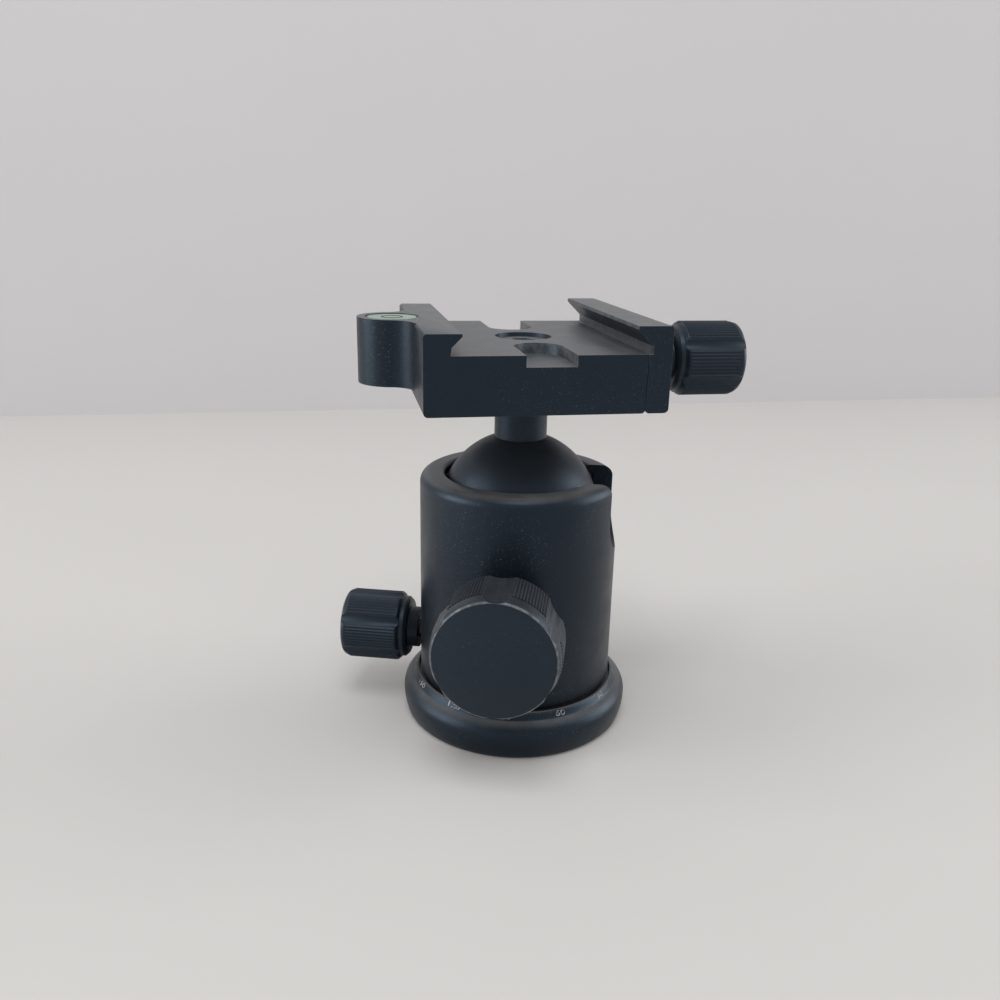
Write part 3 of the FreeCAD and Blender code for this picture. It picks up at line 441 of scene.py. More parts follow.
FINISHES = {
    Slot.BLACK_ANODISED: Anodised("black_anodised"),
    Slot.BALL_ANODISED: Anodised("ball_anodised", (0.008, 0.010, 0.013), (0.012, 0.015, 0.019),
                                 roughness=0.42, dust=0.03, specks=0.10, wear=0.2),
    Slot.KNOB_BLACK: Anodised("knob_black", (0.0055, 0.0080, 0.0110), (0.0110, 0.0145, 0.0190),
                              roughness=0.38, dust=0.08, specks=0.08, wear=0.85),
    Slot.BLACKENED_STEEL: TurnedMetal("blackened_steel", (0.030, 0.032, 0.036), 0.32),
    Slot.STEEL: TurnedMetal("steel", (0.55, 0.55, 0.56), 0.26),
    Slot.BRASS: TurnedMetal("brass", (0.68, 0.50, 0.24), 0.28),
    Slot.ACETAL: Plastic("acetal", (0.62, 0.61, 0.57), (0.70, 0.69, 0.66)),
    Slot.ACETAL_BLACK: Plastic("acetal_black", (0.012, 0.012, 0.013), (0.022, 0.022, 0.023)),
    Slot.SPRING_STEEL: TurnedMetal("spring_steel", (0.42, 0.42, 0.44), 0.22),
    Slot.LEVEL_GREEN: Plastic("level_green", (0.22, 0.58, 0.26), (0.28, 0.66, 0.32), 0.15),
    Slot.LEVEL_CLEAR: Clear("level_clear", (0.22, 0.37, 0.27), 0.78),
    Slot.LEVEL_AIR: Clear("level_air", (0.60, 0.95, 0.60), 0.5),
    Slot.LEVEL_PRINT: Plastic("level_print", (0.015, 0.025, 0.017), (0.03, 0.045, 0.03)),
}
SCALE_PAINT = Paint("scale_paint", (0.34, 0.36, 0.38), (0.06, 0.07, 0.08))


# Geometry trees for what repeats


class GeometryTree(Graph):
    """A geometry tree that is built once and run with its own sizes."""

    def __init__(self, name: str, sizes: dict[str, str]) -> None:
        """Make the tree and its named inputs.

        Args:
            name: The tree's name.
            sizes: The socket type of each named input.
        """
        tree = bpy.data.node_groups.new(name, "GeometryNodeTree")
        super().__init__(tree)
        self.sockets = {
            label: tree.interface.new_socket(label, in_out="INPUT", socket_type=kind).identifier
            for label, kind in {**sizes, "Finish": "NodeSocketMaterial"}.items()}
        tree.interface.new_socket("Geometry", in_out="OUTPUT", socket_type="NodeSocketGeometry")
        self.group = tree.nodes.new("NodeGroupInput")

    def given(self, label: str) -> Link:
        """One of the named inputs."""
        return Link(self, self.group.outputs[label])

    def close(self, geometry: Link) -> None:
        """End the tree with plain, dressed geometry.

        Args:
            geometry: What the tree has made.
        """
        plain = self.node("GeometryNodeRealizeInstances", {}, {"Geometry": geometry})
        dressed = self.node("GeometryNodeSetMaterial", {}, {
            "Geometry": plain, "Material": self.given("Finish")})
        self.node("NodeGroupOutput", {}, {0: dressed})

    def run(self, name: str, finish: bpy.types.Material,
            sizes: dict[str, float]) -> bpy.types.Mesh:
        """Run the tree and keep the result as a plain mesh.

        Args:
            name: The mesh's name.
            finish: The material of the result.
            sizes: The value of each named input.

        Returns:
            The mesh, in the tree's own frame.
        """
        holder = bpy.data.objects.new(name, bpy.data.meshes.new(name))
        bpy.context.scene.collection.objects.link(holder)
        modifier = holder.modifiers.new(name, "NODES")
        modifier.node_group = self.tree
        for label, value in sizes.items():
            modifier[self.sockets[label]] = value
        modifier[self.sockets["Finish"]] = finish
        plain = bpy.data.meshes.new_from_object(
            holder.evaluated_get(bpy.context.evaluated_depsgraph_get()))
        bpy.data.objects.remove(holder)
        return plain


class Knurl(GeometryTree):
    """Straight ribs along X, in groups on the lands round a knob."""

    def __init__(self) -> None:
        """Build the tree."""
        super().__init__("knurl", {
            "Lands": "NodeSocketInt", "Ribs": "NodeSocketInt", "Land Angle": "NodeSocketFloat",
            "Radius": "NodeSocketFloat", "Start": "NodeSocketFloat",
            "Length": "NodeSocketFloat", "Rib Width": "NodeSocketFloat",
            "Rib Height": "NodeSocketFloat"})
        ribs = self.given("Ribs")
        index = self.node("GeometryNodeInputIndex", {}, {})
        land = (index / ribs).floor()
        across = (index - land * ribs) - (ribs - 1.0) * 0.5
        angle = land * math.tau / self.given("Lands") + across * self.given("Land Angle") / ribs
        radius = self.given("Radius")
        place = self.node("ShaderNodeCombineXYZ", {}, {
            "X": self.given("Start") + self.given("Length") * 0.5,
            "Y": radius * angle.cosine(), "Z": radius * angle.sine()})
        points = self.node("GeometryNodePoints", {}, {
            "Count": self.given("Lands") * ribs, "Position": place})
        bar = self.node("GeometryNodeMeshCylinder", {"fill_type": "NGON"}, {
            "Vertices": 4, "Radius": 1.0, "Depth": 1.0}, "Mesh")
        bar = self.node("GeometryNodeTransform", {}, {
            "Geometry": bar, "Rotation": (0.0, math.pi / 2, 0.0)})
        turn = self.node("ShaderNodeCombineXYZ", {}, {"X": angle - math.pi / 2})
        size = self.node("ShaderNodeCombineXYZ", {}, {
            "X": self.given("Length"), "Y": self.given("Rib Width") * 0.5,
            "Z": self.given("Rib Height")})
        self.close(self.node("GeometryNodeInstanceOnPoints", {}, {
            "Points": points, "Instance": bar,
            "Rotation": self.node("FunctionNodeEulerToRotation", {}, {0: turn}),
            "Scale": size}))


class Coil(GeometryTree):
    """A wire wound round Z, for springs and for the ridge of a thread."""

    def __init__(self) -> None:
        """Build the tree."""
        super().__init__("coil", {
            "Turns": "NodeSocketFloat", "Radius": "NodeSocketFloat",
            "Height": "NodeSocketFloat", "Wire": "NodeSocketFloat",
            "Sides": "NodeSocketInt", "Steps": "NodeSocketInt"})
        radius = self.given("Radius")
        path = self.node("GeometryNodeCurveSpiral", {}, {
            "Resolution": self.given("Steps"), "Rotations": self.given("Turns"),
            "Start Radius": radius, "End Radius": radius, "Height": self.given("Height")})
        path = self.node("GeometryNodeSetCurveNormal", {"mode": "Z_UP"}, {"Curve": path})
        wire = self.node("GeometryNodeCurvePrimitiveCircle", {}, {
            "Resolution": self.given("Sides"), "Radius": self.given("Wire")}, "Curve")
        self.close(self.node("GeometryNodeCurveToMesh", {}, {
            "Curve": path, "Profile Curve": wire, "Fill Caps": True}))


# The workshop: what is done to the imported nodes


def axis_frame(axis: Vector, foot: Vector) -> Matrix:
    """The frame whose X runs along an axis, with Z as upright as it can be.

    Args:
        axis: The direction of the axis.
        foot: The point that becomes the origin.

    Returns:
        The matrix from that frame to the row frame.
    """
    along = axis.normalized()
    side = UP.cross(along).normalized()
    up = along.cross(side)
    turn = Matrix((along, side, up)).transposed().to_4x4()
    return Matrix.Translation(foot) @ turn


X_FROM_Z = Matrix.Rotation(math.pi / 2, 4, "Y")


class Workshop:
    """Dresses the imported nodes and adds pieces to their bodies."""

    def __init__(self, frame: dict[str, object]) -> None:
        """Take the frame and make every finish.
        """
        self.nodes = frame["nodes"]
        self.joints = {joint["name"]: joint for joint in frame["joints"]}
        self.finishes = {slot: finish.material() for slot, finish in FINISHES.items()}
        self.knurl = Knurl()
        self.coil = Coil()

    def body_of(self, node: str) -> str:
        """The body that carries a node."""
        return self.nodes[node]["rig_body"]

    def joint_axis(self, joint: str) -> Vector:
        """The direction of a joint's axis."""
        return Vector(self.joints[joint]["axis"])

    def dress(self, slot: Slot, *nodes: str) -> None:
        """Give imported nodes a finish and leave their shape.

        Args:
            slot: The finish.
            *nodes: The nodes that get it.
        """
        for node in nodes:
            mesh = self.nodes[node].data
            if not mesh.materials:
                mesh.materials.append(None)
            for index in range(len(mesh.materials)):
                mesh.materials[index] = self.finishes[slot]
            LOG.info("%s: dressed in %s", node, slot.value)

    def merged(self, node: str) -> bmesh.types.BMesh:
        """Join a copy of a node's triangles and make its flat faces whole.

        Args:
            node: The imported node.

        Returns:
            The copy.
        """
        copy = bmesh.new()
        copy.from_mesh(self.nodes[node].data)
        bmesh.ops.remove_doubles(copy, verts=copy.verts, dist=WELD_DISTANCE)
        bmesh.ops.dissolve_limit(copy, angle_limit=FLAT_TURN, verts=copy.verts,
                                 edges=copy.edges)
        return copy

    def ease(self, copy: bmesh.types.BMesh, width: float, wear: float = 1.0) -> None:
        """Break the sharp edges of a copy and mark the faces that this makes.

        Args:
            copy: The mesh.
            width: How wide the broken edge is.
            wear: How bare the broken edge has been rubbed, 0 to 1.
        """
        mark = copy.faces.layers.float.new(Mark.EDGE.value)
        sharp = [edge for edge in copy.edges
                 if edge.is_manifold and edge.calc_face_angle() > SHARP_TURN]
        made = bmesh.ops.bevel(copy, geom=sharp, offset=width, segments=1, profile=0.5,
                               affect="EDGES", clamp_overlap=True)
        for face in made["faces"]:
            face[mark] = wear

    def add(self, name: str, mesh: bpy.types.Mesh, body: str, slot: Slot,
            *stands_for: str) -> bpy.types.Object:
        """Put a finished mesh on a body.

        Args:
            name: The piece's name.
            mesh: Its mesh, in the row frame.
            body: The body that carries it.
            slot: The slot it takes its finish from.
            *stands_for: The nodes that it replaces.

        Returns:
            The new piece.
        """
        piece = bpy.data.objects.new(name, mesh)
        bpy.context.scene.collection.objects.link(piece)
        if not mesh.materials:
            mesh.materials.append(self.finishes[slot])
        mesh.shade_smooth()
        mesh.set_sharp_from_angle(angle=SMOOTH_TURN)
        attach(piece, body)
        if stands_for:
            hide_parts(*stands_for)
        LOG.info("%s: %d faces on %s", name, len(mesh.polygons), body)
        return piece

    def rework(self, slot: Slot, edge: float, node: str, wear: float = 0.8,
               rubbed: Where = lambda face: 0.0) -> None:
        """Replace a node by a smooth copy with broken edges.

        Args:
            slot: The finish.
            edge: How wide a broken edge is.
            node: The node to replace.
            wear: How bare the broken edges are, 0 to 1.
            rubbed: How bare a face is apart from its edges, 0 to 1.
        """
        copy = self.merged(node)
        self.ease(copy, edge, wear)
        mark = copy.faces.layers.float[Mark.EDGE.value]
        for face in copy.faces:
            face[mark] = max(face[mark], rubbed(face))
        mesh = bpy.data.meshes.new(node + "_eased")
        copy.to_mesh(mesh)
        copy.free()
        self.add(node + "_eased", mesh, self.body_of(node), slot, node)

    def ribs(self, name: str, node: str, joint: str, slot: Slot, sizes: dict[str, float]) -> None:
        """Add a knurl to a knob.

        Args:
            name: The new piece's name.
            node: The knob, whose body carries the ribs.
            joint: The joint that turns it.
            slot: The finish.
            sizes: The inputs of the knurl, with Start from the knob's front end.
        """
        foot = Vector(self.joints[joint]["pos_m"])
        axis = self.joint_axis(joint)
        front = max((vertex.co - foot).dot(axis) for vertex in self.nodes[node].data.vertices)
        mesh = self.knurl.run(name, self.finishes[slot], {**sizes, "Start": front - sizes["Start"]})
        mesh.transform(axis_frame(axis, foot))
        self.add(name, mesh, self.body_of(node), slot)


@dataclass(frozen=True)
class Thread:
    """A thread on a screw: a core and the ridge wound round it."""

    radius: float
    pitch: float
    depth: float
    wall_slack: float = 0.1 * MM
    edge: float = 0.08 * MM
    ridge_sides: int = 4
    ridge_steps: int = 40

    def cut(self, shop: Workshop, node: str, axis: Vector, slot: Slot, inside: bool = False,
            start: float = 0.0, end: float = 0.0) -> None:
        """Replace a plain screw, or the bore of a bush, by one with a thread.

        Args:
            shop: The workshop.
            node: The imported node.
            axis: The direction of its axis.
            slot: The finish.
            inside: Whether the thread is in a bore.
            start: Length left plain at the lower end of the axis.
            end: Length left plain at the upper end.
        """
        copy = shop.merged(node)
        low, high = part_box(node)
        middle = (low + high) / 2
        reach = [(vertex.co - middle).dot(axis) for vertex in copy.verts]
        foot = middle + axis * (min(reach) + start)
        length = max(reach) - min(reach) - start - end
        root = self.radius + self.depth if inside else self.radius - self.depth
        for vertex in copy.verts:
            offset = vertex.co - middle
            along = axis * offset.dot(axis)
            out = offset - along
            if abs(out.length - self.radius) < self.wall_slack:
                vertex.co = middle + along + out * (root / out.length)
        shop.ease(copy, self.edge)
        mesh = bpy.data.meshes.new(node + "_core")
        copy.to_mesh(mesh)
        copy.free()
        body = shop.body_of(node)
        shop.add(node + "_core", mesh, body, slot, node)
        ridge = shop.coil.run(node + "_thread", shop.finishes[slot], {
            "Turns": length / self.pitch, "Radius": root, "Height": length,
            "Wire": self.depth, "Sides": self.ridge_sides, "Steps": self.ridge_steps})
        ridge.transform(axis_frame(axis, foot) @ X_FROM_Z)
        shop.add(node + "_thread", ridge, body, slot)


# Sub-assemblies


@dataclass
class Base:
    """The pan base with its degree scale and what is fixed in it."""

    edge: float = 0.10 * MM
    scale_foot_radius: float = 23.75 * MM
    scale_foot_height: float = 8.40 * MM
    scale_top_radius: float = 22.95 * MM
    scale_top_height: float = 10.0 * MM
    digit_height: float = 1.20 * MM
    digit_stretch: float = 1.45
    digit_thickness: float = 0.03 * MM
    text_per_digit: float = 1.4
    step: int = 30
    zero_angle: float = -16.0
    edge_wear: float = 0.12
    thread: Thread = Thread(4.0 * MM, 1.5875 * MM, 0.62 * MM)
    plain_end: float = 0.9 * MM

    def build(self, shop: Workshop) -> None:
        """Dress the base and add its scale and its thread.

        Args:
            shop: The workshop.
        """
        shop.rework(Slot.BLACK_ANODISED, self.edge, "pan_base", self.edge_wear)
        shop.dress(Slot.ACETAL_BLACK, "slide_ring")
        shop.dress(Slot.ACETAL, "thrust_washer")
        shop.dress(Slot.STEEL, "bolt_washer")
        shop.rework(Slot.BLACKENED_STEEL, self.edge, "pan_bolt")
        self.thread.cut(shop, "tripod_bush", UP, Slot.STEEL, inside=True,
                        start=self.plain_end, end=self.plain_end)
        self.add_scale(shop)

    def add_scale(self, shop: Workshop) -> None:
        """Write the degrees round the steep band, tops towards the housing.

        Args:
            shop: The workshop.
        """
        numbers = bmesh.new()
        for degrees in range(0, 360, self.step):
            label = self.flat_number(degrees)
            self.wrap(label, math.radians(self.zero_angle - degrees))
            numbers.from_mesh(label)
            bpy.data.meshes.remove(label)
        bmesh.ops.remove_doubles(numbers, verts=numbers.verts, dist=WELD_DISTANCE)
        bmesh.ops.recalc_face_normals(numbers, faces=numbers.faces)
        mesh = bpy.data.meshes.new("scale_numbers")
        numbers.to_mesh(mesh)
        numbers.free()
        mesh.materials.append(SCALE_PAINT.material())
        shop.add("scale_numbers", mesh, "base", Slot.LEVEL_PRINT)

    def flat_number(self, degrees: int) -> bpy.types.Mesh:
        """Make one number as a thin flat mesh, centred on the origin.

        Args:
            degrees: The number.

        Returns:
            The mesh, in the XY plane.
        """
        text = bpy.data.curves.new("degrees", "FONT")
        text.body = str(degrees)
        text.size = self.digit_height * self.text_per_digit
        text.align_x = "CENTER"
        text.align_y = "CENTER"
        text.extrude = self.digit_thickness / 2
        holder = bpy.data.objects.new("degrees", text)
        mesh = bpy.data.meshes.new_from_object(holder)
        bpy.data.objects.remove(holder)
        return mesh

    def wrap(self, label: bpy.types.Mesh, angle: float) -> None:
        """Bend a flat number round the band.

        Args:
            label: The number, in the XY plane.
            angle: Where on the band it goes, from +X.
        """
        foot = Vector((self.scale_foot_radius, 0, self.scale_foot_height))
        top = Vector((self.scale_top_radius, 0, self.scale_top_height))
        slope = (top - foot).normalized()
        outward = Vector((slope.z, 0, -slope.x))
        middle = (foot + top) / 2
        for vertex in label.vertices:
            place = middle + slope * vertex.co.y + outward * vertex.co.z
            turn = angle + vertex.co.x * self.digit_stretch / place.x
            vertex.co = Vector((place.x * math.cos(turn), place.x * math.sin(turn), place.z))


@dataclass
class Barrel:
    """The housing, its floor, seat, cup, wedge, springs and bushes, and the pan lock's shoe."""

    edge: float = 0.14 * MM
    edge_wear: float = 0.45

    def build(self, shop: Workshop) -> None:
        """Dress the housing and what it holds.

        Args:
            shop: The workshop.
        """
        shop.rework(Slot.BLACK_ANODISED, self.edge, "housing", self.edge_wear)
        shop.dress(Slot.BLACK_ANODISED, "floor_plate")
        shop.dress(Slot.ACETAL_BLACK, "seat_ring", "lower_cup")
        shop.dress(Slot.BRASS, "main_bush", "pan_bush", "pressure_wedge", "brake_shoe")
        shop.dress(Slot.SPRING_STEEL, "disc_springs")


@dataclass
class Knob:
    """One lock knob: its lands carry fine straight ribs."""

    node: str
    joint: str
    radius: float
    ribs: int
    groove_distance: float
    groove_radius: float
    rib_end: float
    rib_length: float
    lands: int = 6
    rib_height: float = 0.20 * MM
    rib_share: float = 0.92
    edge: float = 0.12 * MM
    edge_band: float = 0.4 * MM
    front_wear: float = 0.42
    front_facing: float = 0.98
    land_share: float = 0.97

    def land_angle(self) -> float:
        """The angle of one land, between two grooves."""
        cosine = ((self.groove_distance ** 2 + self.radius ** 2 - self.groove_radius ** 2)
                  / (2 * self.groove_distance * self.radius))
        return math.tau / self.lands - 2 * math.acos(cosine)

    def build(self, shop: Workshop) -> None:
        """Replace the knob by a smooth copy and put its ribs on.

        Args:
            shop: The workshop.
        """
        axis = shop.joint_axis(self.joint)
        front = max(vertex.co.dot(axis) for vertex in shop.nodes[self.node].data.vertices)

        def on_front_edge(face: bmesh.types.BMFace) -> float:
            """How bare a face of the knob is: the edge of its front is rubbed all round."""
            near = face.calc_center_median().dot(axis) > front - self.edge_band
            return self.front_wear if near and face.normal.dot(axis) < self.front_facing else 0.0

        shop.rework(Slot.KNOB_BLACK, self.edge, self.node, rubbed=on_front_edge)
        angle = self.land_angle()
        shop.ribs(self.node + "_ribs", self.node, self.joint, Slot.KNOB_BLACK, {
            "Lands": self.lands, "Ribs": self.ribs, "Land Angle": angle * self.land_share,
            "Radius": self.radius, "Start": self.rib_end + self.rib_length,
            "Length": self.rib_length,
            "Rib Width": self.rib_share * angle * self.radius / self.ribs,
            "Rib Height": self.rib_height})


@dataclass
class MainLock:
    """The big knob with its screw and set screw."""

    knob: Knob
    thread: Thread
    plain_start: float = 1.5 * MM
    plain_end: float = 6.0 * MM
    set_screw_edge: float = 0.08 * MM

    def build(self, shop: Workshop) -> None:
        """Dress the lock.

        Args:
            shop: The workshop.
        """
        self.knob.build(shop)
        shop.rework(Slot.BLACKENED_STEEL, self.set_screw_edge, "knob_set_screw")
        self.thread.cut(shop, "main_screw", shop.joint_axis(self.knob.joint), Slot.STEEL,
                        start=self.plain_start, end=self.plain_end)


@dataclass
class PanLock:
    """The small knob at the side with its screw."""

    knob: Knob
    thread: Thread
    plain_start: float = 0.5 * MM
    plain_end: float = 6.0 * MM

    def build(self, shop: Workshop) -> None:
        """Dress the lock."""
        self.knob.build(shop)
        self.thread.cut(shop, "pan_screw", shop.joint_axis(self.knob.joint), Slot.STEEL,
                        start=self.plain_start, end=self.plain_end)


@dataclass
class BallAndStem:
    """The ball and its stem."""

    edge: float = 0.10 * MM

    def build(self, shop: Workshop) -> None:
        """Dress the ball and the stem."""
        shop.rework(Slot.BALL_ANODISED, self.edge, "ball")
        shop.rework(Slot.BLACK_ANODISED, self.edge, "stem")


@dataclass
class Level:
    """The round level in its boss."""

    def build(self, shop: Workshop) -> None:
        """Dress the level.

        Args:
            shop: The workshop.
        """
        shop.dress(Slot.ACETAL_BLACK, "level_cup")
        shop.dress(Slot.LEVEL_GREEN, "level_fluid")
        shop.dress(Slot.LEVEL_AIR, "level_bubble")
        shop.dress(Slot.LEVEL_CLEAR, "level_lens")
        shop.dress(Slot.LEVEL_PRINT, "level_ring")


@dataclass
class Clamp:
    """The clamp with its moving jaw, pins, springs and screw."""

    knob: Knob
    thread: Thread
    edge: float = 0.16 * MM
    edge_wear: float = 0.6
    cap_edge: float = 0.10 * MM
    washer_edge: float = 0.08 * MM
    plain_start: float = 0.5 * MM
    plain_end: float = 8.0 * MM
    wire: float = 0.35 * MM
    wire_sides: int = 10
    spring_steps: int = 32
    spring_turns: float = 6.0
    floor: float = 87.0 * MM
    pocket_floor: float = 84.9 * MM
    pocket_reach: float = 5.2 * MM
    pocket_wear: float = 0.32
    flank_wear: float = 0.35

    def build(self, shop: Workshop) -> None:
        """Dress the clamp and wind its springs.

        Args:
            shop: The workshop.
        """
        shop.rework(Slot.BLACK_ANODISED, self.edge, "clamp_base", self.edge_wear, self.in_pocket)
        shop.rework(Slot.BLACK_ANODISED, self.edge, "moving_jaw", self.edge_wear, self.on_flank)
        shop.rework(Slot.BLACK_ANODISED, self.cap_edge, "clamp_screw")
        shop.dress(Slot.STEEL, "guide_pins", "jaw_clip")
        shop.rework(Slot.BLACKENED_STEEL, self.washer_edge, "jaw_washer")
        self.knob.build(shop)
        self.thread.cut(shop, "jaw_screw", shop.joint_axis(self.knob.joint), Slot.STEEL,
                        start=self.plain_start, end=self.plain_end)
        self.wind_springs(shop)

    def on_flank(self, face: bmesh.types.BMFace) -> float:
        """How bare a face of the moving jaw is: plates rub the wall under its tip."""
        place = face.calc_center_median()
        return self.flank_wear if face.normal.x < -0.9 and place.z > self.floor else 0.0

    def in_pocket(self, face: bmesh.types.BMFace) -> float:
        """How bare a face of the clamp is: the walls of the stop pockets are scuffed."""
        place = face.calc_center_median()
        in_depth = self.pocket_floor < place.z < self.floor and abs(face.normal.z) < 0.9
        return self.pocket_wear if in_depth and abs(place.x) < self.pocket_reach else 0.0

    def wind_springs(self, shop: Workshop) -> None:
        """Replace the two plain sleeves by coils round the pins.

        Args:
            shop: The workshop.
        """
        low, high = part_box("jaw_springs")
        radius = (high.z - low.z) / 2 - self.wire
        length = high.x - low.x - 2 * self.wire
        pair = bmesh.new()
        for along in (low.y + radius + self.wire, high.y - radius - self.wire):
            coil = shop.coil.run("spring", shop.finishes[Slot.SPRING_STEEL], {
                "Turns": self.spring_turns, "Radius": radius, "Height": length,
                "Wire": self.wire, "Sides": self.wire_sides, "Steps": self.spring_steps})
            coil.transform(Matrix.Translation((low.x + self.wire, along, (low.z + high.z) / 2))
                           @ X_FROM_Z)
            pair.from_mesh(coil)
        mesh = bpy.data.meshes.new("jaw_spring_coils")
        pair.to_mesh(mesh)
        pair.free()
        shop.add("jaw_spring_coils", mesh, shop.body_of("jaw_springs"), Slot.SPRING_STEEL,
                 "jaw_springs")


# The stage


@dataclass(frozen=True)
class Lamp:
    """A square lamp: its place in metres, power in watts and side in metres."""

    name: str
    place: tuple[float, float, float]
    power: float
    size: float

    def hang(self, aim: Vector) -> None:
        """Make the lamp and turn it to a point.

        Args:
            aim: The point that it faces.
        """
        light = bpy.data.lights.new(self.name, "AREA")
        light.energy = self.power
        light.size = self.size
        made = bpy.data.objects.new(self.name, light)
        bpy.context.scene.collection.objects.link(made)
        made.location = self.place
        made.rotation_mode = "QUATERNION"
        made.rotation_quaternion = (aim - made.location).to_track_quat("-Z", "Y")


@dataclass
class Studio:
    """A pale floor, a pale wall far behind it and soft light."""

    floor_colour: Colour = (0.568, 0.556, 0.539)
    wall_colour: Colour = (0.582, 0.568, 0.578)
    backdrop_colour: Colour = (0.660, 0.645, 0.655)
    floor_reach: float = 0.8
    floor_drop: float = 0.03 * MM
    wall_distance: float = 0.33
    wall_height: float = 1.2
    cloud_size: float = 90 * MM
    cloud_shade: float = 0.97
    fill: float = 0.64
    aim_height: float = 40 * MM
    lamps: tuple[Lamp, ...] = (
        Lamp("top_lamp", (-0.1, -0.35, 1.0), 3.3, 0.4),
        Lamp("left_lamp", (-1.9, -0.10, 0.55), 26.0, 1.3),
        Lamp("right_lamp", (1.9, -0.05, 0.55), 20.0, 1.3))

    def pale(self, name: str, colour: Colour) -> bpy.types.Material:
        """A matt pale surface that only shows from its front side.

        Args:
            name: The material's name.
            colour: Its colour.

        Returns:
            The material.
        """
        shader = Shader(name)
        cloud = shader.noise(self.cloud_size, 3.0)
        tinted = shader.mix(cloud, tuple(self.cloud_shade * part for part in colour), colour)
        matt = shader.node("ShaderNodeBsdfPrincipled", {}, {
            "Base Color": tinted, "Roughness": 0.75 + cloud * 0.1})
        clear = shader.node("ShaderNodeBsdfTransparent", {}, {})
        behind = shader.node("ShaderNodeNewGeometry", {}, {}, "Backfacing")
        both = shader.node("ShaderNodeMixShader", {}, {0: behind, 1: matt, 2: clear})
        shader.node("ShaderNodeOutputMaterial", {}, {"Surface": both})
        return shader.material

    def plane(self, name: str, corners: list[tuple[float, float, float]],
              finish: bpy.types.Material) -> None:
        """Lay one flat part of the stage.

        Args:
            name: Its name.
            corners: Its four corners in turn.
            finish: Its material.
        """
        mesh = bpy.data.meshes.new(name)
        mesh.from_pydata(corners, [], [(0, 1, 2, 3)])
        mesh.materials.append(finish)
        made = bpy.data.objects.new(name, mesh)
        bpy.context.scene.collection.objects.link(made)

    def light_world(self) -> None:
        """Fill light from all round, with the pale background in reflections."""
        world = bpy.data.worlds.new("studio")
        world.use_nodes = True
        bpy.context.scene.world = world
        graph = Graph(world.node_tree)
        path = graph.node("ShaderNodeLightPath", {}, {}, "Is Camera Ray")
        rays = path.socket.node
        seen = path + Link(graph, rays.outputs["Is Glossy Ray"])
        seen = seen + Link(graph, rays.outputs["Is Transmission Ray"])
        fill = graph.node("ShaderNodeBackground", {}, {
            "Color": (1.0, 1.0, 1.0, 1.0), "Strength": self.fill})
        backdrop = graph.node("ShaderNodeBackground", {}, {
            "Color": (*self.backdrop_colour, 1.0), "Strength": 1.0})
        both = graph.node("ShaderNodeMixShader", {}, {0: seen, 1: fill, 2: backdrop})
        graph.node("ShaderNodeOutputWorld", {}, {"Surface": both})

    def build(self) -> None:
        """Make the stage and its light."""
        half = self.floor_reach
        back = self.wall_distance
        under = -self.floor_drop
        self.plane("floor", [(-half, -half, under), (half, -half, under), (half, back, under),
                             (-half, back, under)], self.pale("floor", self.floor_colour))
        top = self.wall_height
        self.plane("wall", [(-half, back, under), (half, back, under), (half, back, top),
                            (-half, back, top)], self.pale("wall", self.wall_colour))
        for lamp in self.lamps:
            lamp.hang(self.aim_height * UP)
        self.light_world()


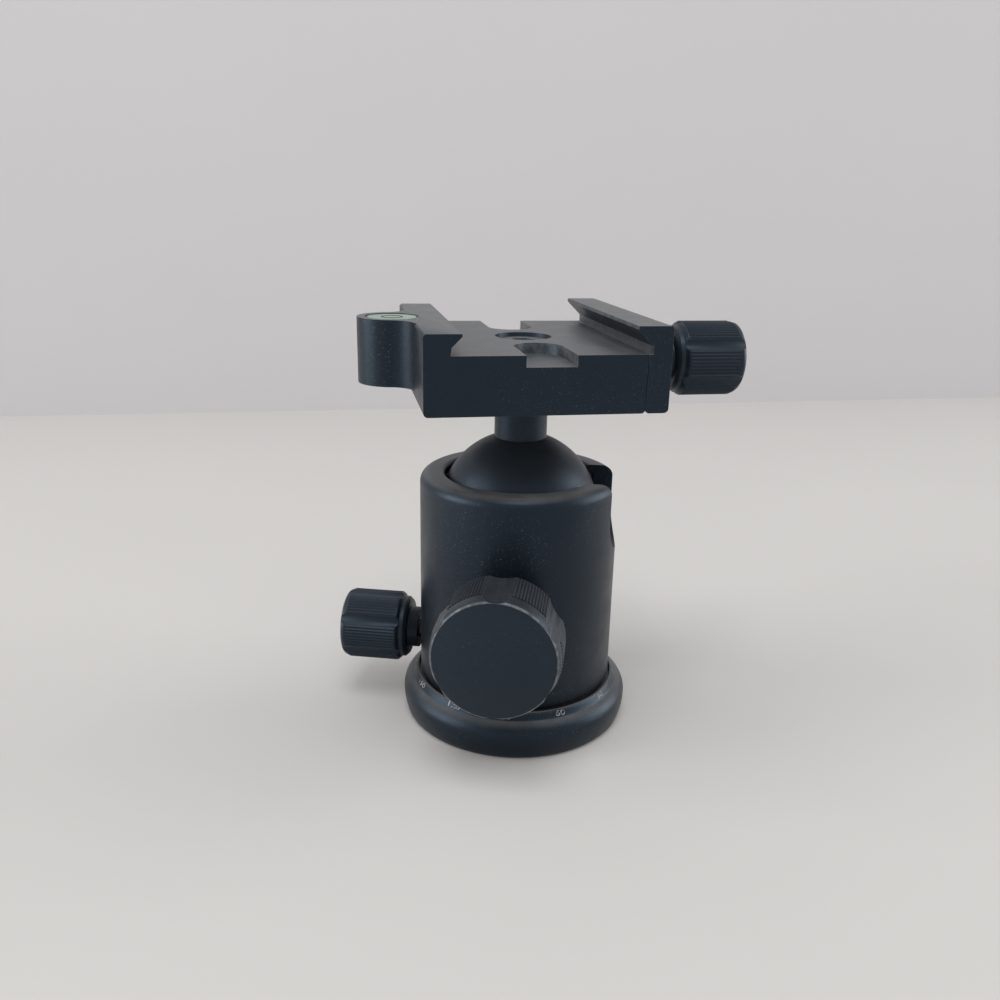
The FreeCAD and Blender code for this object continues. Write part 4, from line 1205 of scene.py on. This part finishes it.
@dataclass
class PhotoCamera:
    """The camera, where the photograph was taken from."""

    place: tuple[float, float, float] = (-40.4 * MM, -188.4 * MM, 112.8 * MM)
    heading: float = 10.86
    down: float = 17.96
    roll: float = 1.2
    focal_pixels: float = 903.0
    nearest: float = 10 * MM

    def build(self) -> None:
        """Make the camera and use it."""
        heading, down, roll = (math.radians(angle)
                               for angle in (self.heading, self.down, self.roll))
        forward = Vector((math.sin(heading) * math.cos(down),
                          math.cos(heading) * math.cos(down), -math.sin(down)))
        right = Vector((math.cos(heading), -math.sin(heading), 0))
        up = right.cross(forward)
        rolled_right = math.cos(roll) * right + math.sin(roll) * up
        rolled_up = rolled_right.cross(forward)
        lens = bpy.data.cameras.new("camera")
        lens.sensor_width = SENSOR_WIDTH
        lens.lens = self.focal_pixels * SENSOR_WIDTH / PHOTO_PIXELS
        lens.clip_start = self.nearest
        camera = bpy.data.objects.new("camera", lens)
        bpy.context.scene.collection.objects.link(camera)
        turn = Matrix((rolled_right, rolled_up, -forward)).transposed()
        camera.rotation_mode = "QUATERNION"
        camera.rotation_quaternion = turn.to_quaternion()
        camera.location = self.place
        bpy.context.scene.camera = camera


def big_knob() -> Knob:
    """The main lock's knob."""
    return Knob(node="main_knob", joint="main_knob_turn", radius=12.8 * MM, ribs=12,
                groove_distance=19.55 * MM, groove_radius=7.5 * MM, rib_end=2.9 * MM,
                rib_length=8.9 * MM)


def small_knob(node: str, joint: str) -> Knob:
    """One of the two small knobs, which are alike."""
    return Knob(node=node, joint=joint, radius=7.9 * MM, ribs=8, groove_distance=8.8 * MM,
                groove_radius=1.55 * MM, rib_end=1.5 * MM, rib_length=11.4 * MM)


def plain(corners: tuple[Vector, Vector]) -> list[list[float]]:
    """Two corners as lists of numbers."""
    return [list(corner) for corner in corners]


def main() -> None:
    """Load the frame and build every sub-assembly."""
    logging.basicConfig(level=logging.INFO, format="%(message)s")
    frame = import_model()
    bpy.context.scene.view_settings.view_transform = "Standard"
    PhotoCamera().build()
    Studio().build()
    shop = Workshop(frame)
    assemblies = [
        Base(),
        Barrel(),
        MainLock(big_knob(), Thread(4.0 * MM, 1.5 * MM, 0.5 * MM)),
        PanLock(small_knob("pan_knob", "pan_knob_turn"), Thread(2.5 * MM, 0.8 * MM, 0.3 * MM)),
        BallAndStem(),
        Clamp(small_knob("jaw_knob", "jaw_knob_turn"), Thread(3.0 * MM, 1.0 * MM, 0.35 * MM)),
        Level(),
    ]
    for assembly in assemblies:
        assembly.build(shop)
        LOG.info("built %s", type(assembly).__name__)


if __name__ == "__main__":
    main()
